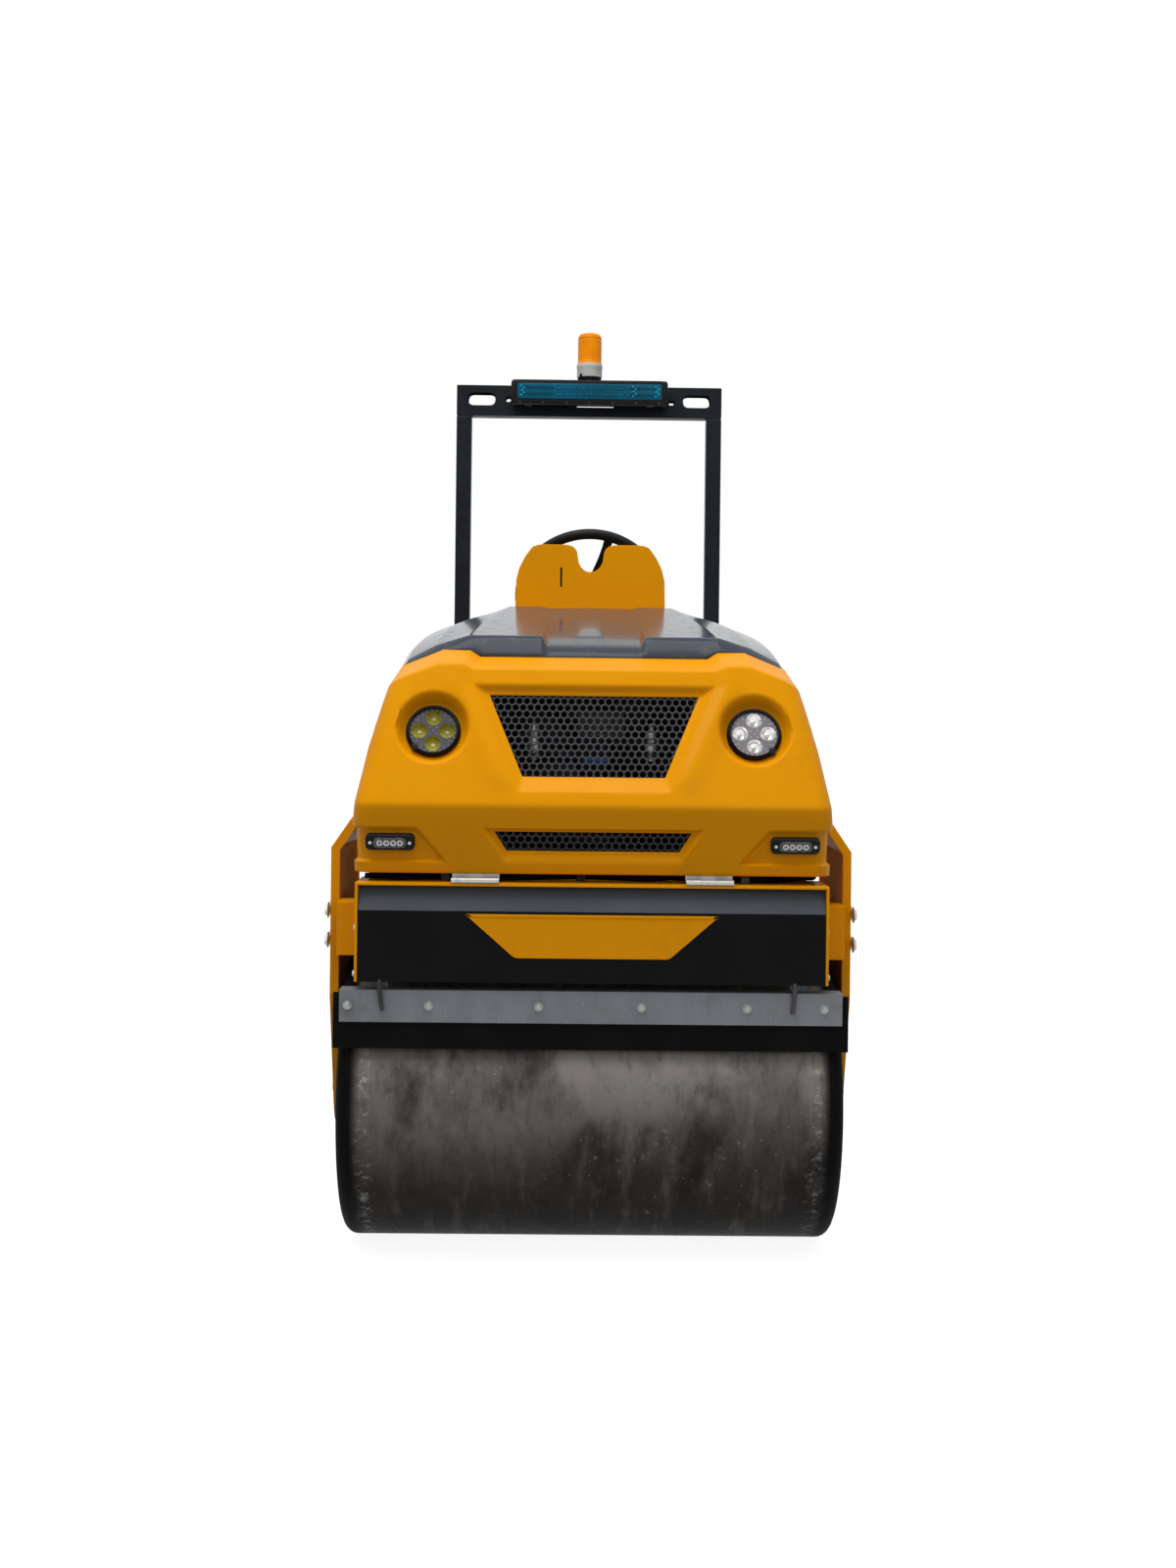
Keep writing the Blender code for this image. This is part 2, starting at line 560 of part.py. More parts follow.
def funnel(name, face, outline, floor, depth):
    """A plug from well outside a leaning face, narrowing from the outline on it to the floor below it."""
    rings = ((outline, -0.03), (outline, 0.0), (floor, depth))
    return loft(name, [[(x, *face_point(face, z, d)) for x, z in ring] for ring, d in rings], "paint_yellow")


def ring_outline(side, radius, steps=32):
    """The circle round a headlamp, as heights on the leaning face."""
    return arc((side * LAMP_X, LAMP_HEIGHT), radius, 0, 360 - 360 / steps, steps - 1)


def hex_holes(name, face, outline, pitch, across, low, high):
    """One cutter with a hexagonal prism at every place of a grid that lies inside the outline."""
    verts, faces = [], []
    xs, zs = [x for x, _ in outline], [z for _, z in outline]
    rows = int((max(zs) - min(zs)) / (pitch * math.sqrt(0.75))) + 2
    columns = int((max(xs) - min(xs)) / pitch) + 2
    for row in range(rows):
        for column in range(columns):
            x = (column - columns // 2 + 0.5 * (row % 2)) * pitch
            z = min(zs) + (row + 0.5) * pitch * math.sqrt(0.75)
            cell = [(x + across / math.sqrt(3) * math.sin(a), z + across / math.sqrt(3) * math.cos(a))
                    for a in (math.radians(60 * k) for k in range(6))]
            if not all(inside(p, outline) for p in cell):
                continue
            base = len(verts)
            verts += [(u, *face_point(face, w, d)) for d in (low, high) for u, w in cell]
            faces += [tuple(base + k for k in range(6)), tuple(base + 6 + k for k in range(6))]
            faces += [(base + k, base + (k + 1) % 6, base + 6 + (k + 1) % 6, base + 6 + k) for k in range(6)]
    return solid(name, verts, faces, "paint_black")


def inside(point, outline):
    """True if the point lies in the outline."""
    x, z = point
    odd = False
    for (x0, z0), (x1, z1) in zip(outline, outline[1:] + outline[:1]):
        if (z0 > z) != (z1 > z) and x < x0 + (z - z0) * (x1 - x0) / (z1 - z0):
            odd = not odd
    return odd


def channel(name, grow):
    """The shallow valley along the middle of the dark cover, following its slope."""
    half_low, half_top, lift = 0.066 + grow, 0.092 + grow, 0.08
    front, low = COVER_FRONT_REACH, COVER_FRONT_HEIGHT - grow
    ends = ((-front - 0.115, low + 0.0095), (-front + 0.085, low + 0.0295), (-HOOD_REAR + 0.05, low + 0.1145))
    sections = [[(-half_low, y, z), (half_low, y, z), (half_top + 0.05, y, z + lift), (-half_top - 0.05, y, z + lift)]
                for y, z in ends]
    return loft(name, sections, "cover_slate")


def hood():
    """The yellow shell, its dark top, the meshes, the lamps and the hinge leaves."""
    g, t = TOUCH_GAP, HOOD_SHEET
    pockets = [
        # name, face, outline on the face, floor outline, depth, lip left round the window, or None for no window
        ("grille", UPPER_FACE, inset(rounded(GRILLE, 0.012), -0.017), rounded(GRILLE, 0.008), 0.012, 0.0015),
        ("vent", LOWER_FACE, inset(rounded(VENT, 0.008), -0.010), rounded(VENT, 0.005), 0.009, 0.0015),
    ]
    for side in (-1, 1):
        pockets.append((f"strobe_{side}", LOWER_FACE, strobe_pocket(side, 0.0), strobe_pocket(side, 0.005), 0.008,
                        None))
        pockets.append((f"lamp_{side}", UPPER_FACE, ring_outline(side, BUCKET_RADIUS),
                        ring_outline(side, LAMP_RADIUS + 0.003), 0.017, 0.003 - g))
    shell = hood_block("hood_shell", 0.0)
    hollow = hood_block("hood_inside", t)
    for word, face, outline, floor, depth, _ in pockets:
        cut(hollow, funnel(word + "_back", face, inset(outline, -t), inset(floor, -t), depth + t))
    cut(shell, hollow)
    for word, face, outline, floor, depth, lip in pockets:
        cut(shell, funnel(word + "_void", face, outline, floor, depth))
        if lip is not None:
            cut(shell, face_slab(word + "_window", face, inset(floor, lip), depth - 0.002, depth + 0.03,
                                 "paint_yellow"))
    wide, far, low = HOOD_HALF + 0.28, NOSE_REACH + 0.24, HOOD_BOTTOM - 0.40
    cut(shell, box("hood_open_bottom", (-wide, wide), (-far, 0.2), (low, HOOD_BOTTOM)))
    cut(shell, box("hood_open_sides", (-wide, wide), (-CORNER_REAR, 0.2), (low, SIDE_SILL)))
    front_edge, rear_edge, high = BROW_HEIGHT - 0.046, BROW_HEIGHT + 0.034, BROW_HEIGHT + 0.24
    above = [(-COVER_FRONT_REACH, high), (-COVER_FRONT_REACH, front_edge), (0.1, rear_edge), (0.1, high)]
    cut(shell, prism("hood_above", "X", above, -wide, wide))
    cover = hood_block("hood_cover", -0.004, "cover_slate")
    cut(cover, channel("cover_channel", 0.0))
    hollow = hood_block("cover_inside", HOOD_SHEET)
    cut(cover, cut(hollow, channel("channel_inside", HOOD_SHEET + 0.004)))
    below = [(-far, low), (-far, high + 0.1), (-COVER_FRONT_REACH + g, high + 0.1),
             (-COVER_FRONT_REACH + g, front_edge + g), (0.1, rear_edge + g), (0.1, low)]
    cut(cover, prism("cover_below", "X", below, -wide, wide))
    back = 0.012 + HOOD_SHEET + g
    grille = rounded(inset(GRILLE, -0.006), 0.008)
    made = face_slab("grille_mesh", UPPER_FACE, grille, back, back + MESH_SHEET, "paint_black")
    cut(made, hex_holes("grille_holes", UPPER_FACE, GRILLE, 0.026, 0.0215, back - 0.02, back + 0.02))
    back = 0.009 + HOOD_SHEET + g
    made = face_slab("vent_mesh", LOWER_FACE, rounded(inset(VENT, -0.005), 0.005), back, back + MESH_SHEET,
                     "paint_black")
    cut(made, hex_holes("vent_holes", LOWER_FACE, VENT, 0.022, 0.0165, back - 0.02, back + 0.02))
    for side, word in ((-1, "left"), (1, "right")):
        headlamp(f"headlamp_{word}", side)
        face_slab(f"strobe_{word}", LOWER_FACE, strobe_outline(side), -0.004, 0.008 - g, "lamp_clear")
    return shell, cover


def headlamp(name, side):
    """A round lamp set square to the face: bezel ring, lens and a finned back."""
    rings = ((0.0, 0.010), (0.80, 0.010), (0.86, 0.004), (1.0, 0.004), (1.0, 0.034), (0.74, 0.052), (0.0, 0.052))
    steps = 40
    sections = []
    for share, depth in rings:
        radius = max(share, 0.02) * LAMP_RADIUS
        circle = arc((side * LAMP_X, LAMP_HEIGHT), radius, 0, 360 - 360 / steps, steps - 1)
        sections.append([(x, *face_point(UPPER_FACE, z, depth)) for x, z in circle])
    return loft(name, sections, "lamp_clear")


HINGE_STANDOFF, HINGE_X, HINGE_HALF, KNUCKLE_RADIUS = 0.018, 0.205, 0.0415, 0.005
HINGE_REACH = HOOD_BOTTOM_REACH + HINGE_STANDOFF
COVER_TOP = TANK_TOP + TOUCH_GAP + CRADLE_SHEET
HINGE_HEIGHT = COVER_TOP + TOUCH_GAP + KNUCKLE_RADIUS


def hinges():
    """The steel butt hinges: a leaf with two knuckles on the tank's cover, one with the middle knuckle on the hood."""
    low = COVER_TOP + TOUCH_GAP
    third = HINGE_HALF / 3
    axis = (0, -HINGE_REACH, HINGE_HEIGHT)
    for side, word in ((-1, "left"), (1, "right")):
        c = side * HINGE_X
        made = box(f"hinge_{word}", (c - HINGE_HALF, c + HINGE_HALF), (-HINGE_REACH + 0.002, -HINGE_REACH + 0.018),
                   (low, low + 0.002), "steel_bright")
        for k, (a, b) in enumerate(((-3, -1), (1, 3))):
            join(made, rod(f"hinge_knuckle_{word}_{k}", "X", axis, KNUCKLE_RADIUS, c + a * third, c + b * third,
                           steps=20))
        cut(made, box(f"hinge_relief_{word}", (c - third, c + third), (-HINGE_REACH - 0.01, -HINGE_REACH + 0.0065),
                      (low - 0.01, low + 0.02)))
        inner = third - TOUCH_GAP
        leaf = box(f"hood_hinge_{word}", (c - HINGE_HALF, c + HINGE_HALF),
                   (-HOOD_BOTTOM_REACH + 0.0045, -HOOD_BOTTOM_REACH + 0.0065), (low + 0.004, HOOD_BOTTOM + 0.002),
                   "steel_bright")
        join(leaf, box(f"hinge_bend_{word}", (c - inner, c + inner), (-HINGE_REACH, -HOOD_BOTTOM_REACH + 0.0055),
                       (low + 0.0045, low + 0.0075), "steel_bright"))
        join(leaf, rod(f"hinge_middle_{word}", "X", axis, KNUCKLE_RADIUS, c - inner, c + inner, steps=20))
        face = face_slab(f"hinge_face_{word}", LOWER_FACE,
                         [(c - HINGE_HALF, HOOD_BOTTOM), (c + HINGE_HALF, HOOD_BOTTOM),
                          (c + HINGE_HALF, HOOD_BOTTOM + 0.022), (c - HINGE_HALF, HOOD_BOTTOM + 0.022)],
                         HOOD_SHEET + TOUCH_GAP, HOOD_SHEET + 0.0028, "steel_bright")
        join(leaf, face)


def engine():
    """One plain block for the engine under the hood."""
    low, front = DECK_HEIGHT + PLATE + TOUCH_GAP, DECK_REACH - 0.040
    box("engine_block", (-0.20, 0.20), (-front, -FRAME_END - 0.12), (low, low + 0.4077), "cast_dark")
    box("radiator", (-0.19, 0.19), (-DECK_REACH + 0.001, -front - TOUCH_GAP), (low, low + 0.3877), "paint_black")


REAR_SIDE = [
    # y and height of the rear body's side outline
    (0.400, DECK_HEIGHT), (0.400, SEAT_TOP), (NOSE_REACH - 0.162, SEAT_TOP),
    (NOSE_REACH - 0.087, SEAT_TOP - 0.012), (NOSE_REACH - 0.032, SEAT_TOP - 0.050), (NOSE_REACH, NOSE_HEIGHT),
    (HOOD_BOTTOM_REACH, HOOD_BOTTOM), (HOOD_BOTTOM_REACH - 0.034, HOOD_BOTTOM - 0.105),
]
TAIL_X, TAIL_HEIGHT, TAIL_RADIUS = HOOD_HALF - 0.085, HOOD_BOTTOM + 0.057, 0.034


def rear_block(name, depth):
    """The rear body as the common part of a side and a plan outline, both moved inwards by a depth."""
    made = prism(name, "X", inset(REAR_SIDE, depth), -HOOD_HALF - 0.18, HOOD_HALF + 0.18)
    plan = [(-HOOD_HALF, 0.1), (HOOD_HALF, 0.1)]
    plan += arc((HOOD_HALF - 0.06, NOSE_REACH - 0.06), 0.06, 0, 90, 6)
    plan += arc((-HOOD_HALF + 0.06, NOSE_REACH - 0.06), 0.06, 90, 180, 6)
    return keep(made, prism(name + "_plan", "Z", inset(plan, depth), DECK_HEIGHT - 0.1, SEAT_TOP + 0.27))


def rear_body():
    """The yellow sheet body behind the platform that carries the seat, open below, and its tail lamps."""
    made = rear_block("rear_body", 0.0)
    cut(made, rear_block("rear_inside", HOOD_SHEET))
    wide, low = HOOD_HALF + 0.28, HOOD_BOTTOM - 0.40
    cut(made, box("rear_open_bottom", (-wide, wide), (0.1, NOSE_REACH + 0.24), (low, HOOD_BOTTOM)))
    cut(made, box("rear_open_sides", (-wide, wide), (0.1, CORNER_REAR), (low, SIDE_SILL)))
    cut(made, box("rear_open_front", (-wide, wide), (0.1, 0.48), (low, SIDE_TOP + TOUCH_GAP)))
    face = ((HOOD_BOTTOM_REACH, HOOD_BOTTOM), (NOSE_REACH, NOSE_HEIGHT))
    for side, word in ((-1, "left"), (1, "right")):
        (y0, z0), (y1, z1) = face
        rings = ((TAIL_RADIUS, -TOUCH_GAP), (TAIL_RADIUS, -0.005), (0.8 * TAIL_RADIUS, -0.0075), (0.001, -0.0085))
        sections = []
        for radius, out in rings:
            circle = arc((side * TAIL_X, TAIL_HEIGHT), radius, 0, 345, 23)
            sections.append([(x, -face_point(((-y0, z0), (-y1, z1)), z, out)[0],
                              face_point(((-y0, z0), (-y1, z1)), z, out)[1]) for x, z in circle])
        loft(f"tail_lamp_{word}", sections, "lens_red")
    return made


def platform():
    """The operator's floor with its edges turned down."""
    h = PLATFORM_HEIGHT
    outer, inner = HOOD_HALF, HOOD_HALF - 0.003
    outline = [(-outer, h - 0.04), (-inner, h - 0.04), (-inner, h - 0.01), (inner, h - 0.01), (inner, h - 0.04),
               (outer, h - 0.04), (outer, h), (-outer, h)]
    return prism("platform", "Y", outline, 0.02, 0.395, "paint_black")


def console():
    """The steering console, its yellow front plate, the column and the wheel."""
    f, h = CONSOLE_FRONT, PLATFORM_HEIGHT
    outline = [(f + 0.17, h + TOUCH_GAP), (f + 0.25, h + TOUCH_GAP), (f + 0.18, h + 0.47), (f + 0.18, h + 0.51),
               (f + 0.06, h + 0.59), (f, h + 0.59), (f, h + 0.24), (f + 0.17, h + 0.06)]
    body = prism("console_body", "X", outline, -0.13, 0.13, "plastic_black")
    cut(body, tilted(rod("column_hole", "Z", (0, 0, 0), 0.022 + TOUCH_GAP, -0.1253, 0.05, steps=24)))
    low, high = h + 0.200, h + CONSOLE_PLATE_RISE
    right = [(0.030, high - 0.060), (0.042, high), (0.126, high), (0.158, high - 0.032), (0.171, high - 0.060),
             (0.171, low)]
    plate = [(-x, z) for x, z in reversed(right)] + right
    made = prism("console_plate", "Y", rounded(plate, 0.010), f - 0.0053, f - TOUCH_GAP)
    cut(made, box("console_slot", (-0.068, -0.063), (f - 0.1, f + 0.1), (high - 0.107, high - 0.057)))


WHEEL_CENTRE = (0.0, CONSOLE_FRONT + 0.205, PLATFORM_HEIGHT + 0.602)
WHEEL_AXIS = (0.0, math.sin(math.radians(60)), math.cos(math.radians(60)))


def along_wheel(point):
    """A point given about the Z axis, turned to the steering wheel's axis and moved to its centre."""
    x, y, z = point
    c, s = WHEEL_AXIS[2], WHEEL_AXIS[1]
    return (x + WHEEL_CENTRE[0], y * c + z * s + WHEEL_CENTRE[1], -y * s + z * c + WHEEL_CENTRE[2])


def tilted(made):
    for point in made.data.vertices:
        point.co = along_wheel(point.co)
    return made


def steering_wheel():
    """A rim on three spokes, and the column below it."""
    rim = [(0.172 + 0.0125 * math.cos(a), 0.0125 * math.sin(a)) for a in
           (2 * math.pi * k / 10 for k in range(10))]
    made = tilted(turned("steering_wheel", "Z", (0, 0, 0), rim, 40, "plastic_black"))
    for k in range(3):
        angle = math.radians(30 + 120 * k)
        c, s = math.cos(angle), math.sin(angle)
        w = 0.012
        outline = [(0.02 * c - w * s, 0.02 * s + w * c), (0.02 * c + w * s, 0.02 * s - w * c),
                   (0.17 * c + w * s, 0.17 * s - w * c), (0.17 * c - w * s, 0.17 * s + w * c)]
        join(made, tilted(prism(f"wheel_spoke_{k}", "Z", outline, -0.005, 0.005)))
    join(made, tilted(rod("wheel_hub", "Z", (0, 0, 0), 0.035, -0.02, 0.018, steps=32)))
    moved_origin(made, WHEEL_CENTRE)
    tilted(rod("steering_column", "Z", (0, 0, 0), 0.022, -0.125, -0.0203, "paint_black", 24))
    return made


def seat():
    """Cushion, back and their bent bracket."""
    base = SEAT_TOP + TOUCH_GAP
    front = ROPS_Y - 0.35
    pan = [(front + 0.14, base), (front + 0.40, base), (front + 0.42, base + 0.11), (front, base + 0.13),
           (front, base + 0.04)]
    pan = rounded(pan, 0.03)
    made = prism("seat_cushion", "X", pan, -0.3, 0.3, "vinyl_black")
    across = mirrored([(0.15, base - 0.01), (0.225, base + 0.03), (0.235, base + 0.125), (0.20, base + 0.135),
                       (0.15, base + 0.100), (0.0, base + 0.095)])
    keep(made, prism("cushion_across", "Y", across, front - 0.1, front + 0.5))
    low, high = base + 0.125, base + 0.4347
    back = rounded([(front + 0.385, low), (front + 0.455, low), (front + 0.530, high), (front + 0.470, high)], 0.025)
    made = prism("seat_back", "X", back, -0.3, 0.3, "vinyl_black")
    across = rounded([(-0.215, low - 0.01), (0.215, low - 0.01), (0.205, high - 0.145), (0.175, high + 0.004),
                      (-0.175, high + 0.004), (-0.205, high - 0.145)], 0.05)
    keep(made, prism("back_across", "Y", across, front + 0.3, front + 0.6))
    join(made, box("seat_hinge", (-0.06, 0.06), (front + 0.435, front + 0.450), (base, base + 0.24), "vinyl_black"))
    return made


def roll_frame():
    """Two posts, the crossbar with its lifting slots, the light bar and the beacon."""
    low = SEAT_TOP + TOUCH_GAP
    top = ROPS_TOP - ROPS_BAR_HEIGHT
    y = (ROPS_Y - ROPS_TUBE / 2, ROPS_Y + ROPS_TUBE / 2)
    for side, word in ((-1, "left"), (1, "right")):
        x = sorted((side * ROPS_HALF, side * (ROPS_HALF - ROPS_TUBE)))
        made = box(f"rops_post_{word}", x, y, (low, top - TOUCH_GAP), "paint_dark")
        join(made, box(f"rops_foot_{word}", (x[0] - 0.03, x[1] + 0.03), (y[0] - 0.04, y[1] + 0.04),
                       (low, low + 0.012), "paint_dark"))
    bar = box("rops_crossbar", (-ROPS_HALF, ROPS_HALF), y, (top, ROPS_TOP), "paint_dark")
    for side in (-1, 1):
        x = side * (ROPS_HALF - 0.0685)
        slot = rounded([(x - 0.038, top + 0.028), (x + 0.038, top + 0.028),
                        (x + 0.038, top + 0.064), (x - 0.038, top + 0.064)], 0.018)
        cut(bar, prism(f"lifting_slot_{side}", "Y", slot, ROPS_Y - 0.1, ROPS_Y + 0.1))
    cut(bar, rod("crossbar_hole", "Y", (-0.222, 0, top + 0.048), 0.004, ROPS_Y - 0.1, ROPS_Y + 0.1, steps=12))
    front = y[0] - TOUCH_GAP
    low, half = ROPS_TOP - LIGHT_BAR_DROP, LIGHT_BAR_HALF
    high = low + LIGHT_BAR_HEIGHT
    middle = (low + high) / 2
    housing = rounded([(-half, low), (half, low), (half, high), (-half, high)], 0.016, 3)
    frame = prism("light_bar", "Y", housing, front - 0.068, front - 0.018, "paint_black")
    window = rounded([(-half + 0.016, low + 0.010), (half - 0.016, low + 0.010), (half - 0.016, high - 0.010),
                      (-half + 0.016, high - 0.010)], 0.006, 2)
    cut(frame, prism("light_bar_window", "Y", window, front - 0.2, front - 0.044))
    for side in (-1, 1):
        x = (side * 0.15 - 0.02, side * 0.15 + 0.02)
        join(frame, box(f"light_foot_{side}", x, (front - 0.020, front), (middle - 0.015, middle + 0.015)))
    prism("light_bar_lens", "Y", inset(window, TOUCH_GAP), front - 0.062, front - 0.0443, "lens_teal")
    top = ROPS_TOP + 0.063
    rod("beacon_base", "Z", (0, ROPS_Y, 0), 0.036, ROPS_TOP + TOUCH_GAP, top, "plastic_black", 40)
    low = top + TOUCH_GAP
    dome = [(0, low), (0.034, low), (0.034, top + 0.058), (0.031, top + 0.072), (0.024, top + 0.080),
            (0.012, top + 0.0845), (0, top + 0.085)]
    turned("beacon_dome", "Z", (0, ROPS_Y, 0), dome, 40, "lens_amber")


def lever():
    """The travel lever at the operator's right."""
    foot, top = (ROPS_HALF - 0.0635, ROPS_Y - 0.15, 0), SEAT_TOP + 0.20
    made = rod("travel_lever", "Z", foot, 0.008, SEAT_TOP + TOUCH_GAP, top, "steel_bright", 16)
    knob = [(0, top - 0.01), (0.014, top - 0.005), (0.02, top + 0.02), (0.014, top + 0.045), (0, top + 0.05)]
    join(made, turned("travel_knob", "Z", foot, knob, 20, "plastic_black"))


def main():
    for old in list(bpy.data.objects):
        bpy.data.objects.remove(old)
    drum("front_drum", -1)
    drum("rear_drum", 1)
    for end, prefix in ((-1, "front"), (1, "rear")):
        for side, word in ((-1, "left"), (1, "right")):
            arm(f"{prefix}_arm_{word}", end, side)
        crossbeam(f"{prefix}_crossbeam", end)
        tank(f"{prefix}_tank", end)
        cradle(f"{prefix}_tank_cover", end)
        scraper(prefix, end)
    front_frame()
    rear_frame()
    rod("articulation_pin", "Z", (0, 0, 0), PIN_RADIUS, LOWER_LUG_HEIGHT - 0.015, DECK_HEIGHT + 0.035,
        "steel_bright", 40)
    steering_cylinder()
    badge()
    hood()
    hinges()
    engine()
    rear_body()
    platform()
    console()
    steering_wheel()
    seat()
    roll_frame()
    lever()


main()
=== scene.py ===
"""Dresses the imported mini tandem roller: its surfaces, finishes, stage and camera, laid out as an add-on."""

import math

import bmesh
import bpy
import numpy as np
from mathutils import Matrix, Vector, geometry


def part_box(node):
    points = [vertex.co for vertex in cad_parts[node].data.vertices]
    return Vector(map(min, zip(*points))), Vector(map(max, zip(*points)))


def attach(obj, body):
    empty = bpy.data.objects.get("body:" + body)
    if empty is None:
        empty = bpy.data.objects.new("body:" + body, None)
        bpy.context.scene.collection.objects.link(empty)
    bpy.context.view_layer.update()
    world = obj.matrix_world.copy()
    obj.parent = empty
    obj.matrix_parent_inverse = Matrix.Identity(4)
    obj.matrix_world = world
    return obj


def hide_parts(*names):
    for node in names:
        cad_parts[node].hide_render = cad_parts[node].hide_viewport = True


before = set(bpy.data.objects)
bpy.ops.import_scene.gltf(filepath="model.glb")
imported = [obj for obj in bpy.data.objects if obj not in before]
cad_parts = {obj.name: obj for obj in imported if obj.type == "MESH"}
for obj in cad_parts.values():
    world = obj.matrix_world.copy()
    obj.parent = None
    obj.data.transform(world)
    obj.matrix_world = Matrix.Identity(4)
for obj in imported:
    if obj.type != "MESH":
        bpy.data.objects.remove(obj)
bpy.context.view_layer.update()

bl_info = {
    "name": "Mini tandem roller",
    "version": (1, 0, 0),
    "blender": (4, 5, 0),
    "location": "3D View > Sidebar > Roller",
    "description": "Builds the looks of a mini tandem roller around its packed solids",
    "category": "Object",
}

SMALL = 1e-7  # metres: a length that counts as none
DRUM_RADIUS = 0.28
DRUM_Y = 0.75  # the front drum's axle is this far before the steering pin, the rear one's as far behind


# Material kit

class Wire:
    """A socket on which arithmetic adds Math nodes."""

    def __init__(self, nodes, socket):
        self.nodes, self.socket = nodes, socket

    def __add__(self, other):
        return self.nodes.math("ADD", self, other)

    def __mul__(self, other):
        return self.nodes.math("MULTIPLY", self, other)

    def __sub__(self, other):
        return self.nodes.math("SUBTRACT", self, other)

    def __rsub__(self, other):
        return self.nodes.math("SUBTRACT", other, self)

    def __pow__(self, other):
        return self.nodes.math("POWER", self, other)

    def __abs__(self):
        return self.nodes.math("ABSOLUTE", self)

    __radd__, __rmul__ = __add__, __mul__

    def ramp(self, low, high, start=0.0, end=1.0):
        """A smooth step from start at low to end at high."""
        return self.nodes.node("ShaderNodeMapRange", {"interpolation_type": "SMOOTHSTEP"},
                               Value=self, From_Min=low, From_Max=high, To_Min=start, To_Max=end)


class Nodes:
    """A node tree that is built from expressions."""

    def __init__(self, tree):
        self.tree, self.places = tree, {}

    def plug(self, slot, value):
        """Links a wire to a socket, or sets the socket's own value."""
        if isinstance(value, Wire):
            self.tree.links.new(value.socket, slot)
        elif slot.type == "RGBA" and len(value) == 3:
            slot.default_value = (*value, 1.0)
        else:
            slot.default_value = value

    def node(self, kind, settings=None, output=0, **sockets):
        """One node of a type, with its settings and the values or links of its sockets, as its output."""
        made = self.tree.nodes.new(kind)
        for key, value in (settings or {}).items():
            setattr(made, key, value)
        for key, value in sockets.items():
            self.plug(made.inputs[int(key[1:]) if key[0] == "_" else key.replace("_", " ")], value)
        return Wire(self, made.outputs[output])

    def math(self, operation, *values):
        """One Math node on numbers or wires."""
        return self.node("ShaderNodeMath", {"operation": operation},
                         **{f"_{i}": value for i, value in enumerate(values)})

    def blend(self, factor, first, second):
        """The first colour where the factor is 0 and the second where it is 1."""
        return self.node("ShaderNodeMix", {"data_type": "RGBA"}, output=2, _0=factor, _6=first, _7=second)

    def rays(self, *kinds):
        """1 on rays of the named kinds and 0 on the others."""
        return sum(self.node("ShaderNodeLightPath", output=f"Is {kind} Ray") for kind in kinds)

    def place(self, scale=(1, 1, 1), offset=(0, 0, 0)):
        """Object coordinates, stretched and moved."""
        key = (scale, offset)
        if key not in self.places:
            found = self.node("ShaderNodeTexCoord", output="Object")
            if key != ((1, 1, 1), (0, 0, 0)):
                found = self.node("ShaderNodeMapping", Vector=found, Scale=scale, Location=offset)
            self.places[key] = found
        return self.places[key]

    def axes(self):
        """The three object coordinates as numbers."""
        return [self.node("ShaderNodeSeparateXYZ", output=i, Vector=self.place()) for i in range(3)]

    def noise(self, scale, detail=3.0, stretch=(1, 1, 1), offset=(0, 0, 0)):
        """Soft clouds between 0 and 1."""
        return self.node("ShaderNodeTexNoise", Vector=self.place(stretch, offset), Scale=scale, Detail=detail,
                         Roughness=0.55)

    def cells(self, scale, vector=None):
        """How far each point is from the nearest of scattered dots."""
        return self.node("ShaderNodeTexVoronoi", Vector=vector or self.place(), Scale=scale)


class Finish(Nodes):
    """A Principled material whose pattern lies on its own Object coordinates."""

    def __init__(self, name, **sockets):
        self.material = bpy.data.materials.new(name)
        self.material.use_nodes = True
        super().__init__(self.material.node_tree)
        self.shader = self.tree.nodes["Principled BSDF"]
        self.set(**sockets)

    def set(self, **sockets):
        """Values or wires for the shader's own sockets."""
        for name, value in sockets.items():
            self.plug(self.shader.inputs[name.replace("_", " ")], value)
        return self

    def relief(self, height, distance, strength):
        """Bumps the surface by a height in units of distance."""
        return self.set(Normal=self.node("ShaderNodeBump", Height=height, Distance=distance, Strength=strength))


def srgb(red, green, blue):
    """A colour written as 0 to 255 turned linear."""
    return tuple(c / 12.92 if c <= 0.04045 else ((c + 0.055) / 1.055) ** 2.4
                 for c in (red / 255, green / 255, blue / 255))


def scaled(colour, factor):
    """A colour made darker or lighter, no brighter than white."""
    return tuple(min(1.0, c * factor) for c in colour)


def yellow_paint(name="yellow_paint", dirt=0.35):
    """Glossy yellow enamel with a slight orange peel, thin dust and darker grime low down."""
    paint = Finish(name, Roughness=0.3, Coat_Weight=0.07, Coat_Roughness=0.05, Specular_IOR_Level=0.02)
    base = paint_settings().yellow
    low = 1 - paint.axes()[2].ramp(0.25, 0.75)
    cloud = paint.noise(7.0, 4.0)
    dust = (cloud.ramp(0.5, 0.75) * 0.35 + low * 0.5) * dirt
    fine = paint.noise(55.0, 3.0, offset=(3, 1, 2)).ramp(0.35, 0.7)
    colour = paint.blend(cloud.ramp(0.3, 0.7) * 0.25, base, scaled(base, 0.9))
    colour = paint.blend(dust * fine, colour, srgb(120, 92, 40))
    specks = 1 - paint.cells(160.0).ramp(0.02, 0.09)
    colour = paint.blend(specks * cloud.ramp(0.56, 0.66) * 0.4, colour, srgb(110, 78, 20))
    paint.set(Base_Color=colour, Roughness=0.30 + dust * 0.5 + fine * 0.05)
    return paint.relief(paint.noise(420.0, 2.0), 0.00008, 0.5)


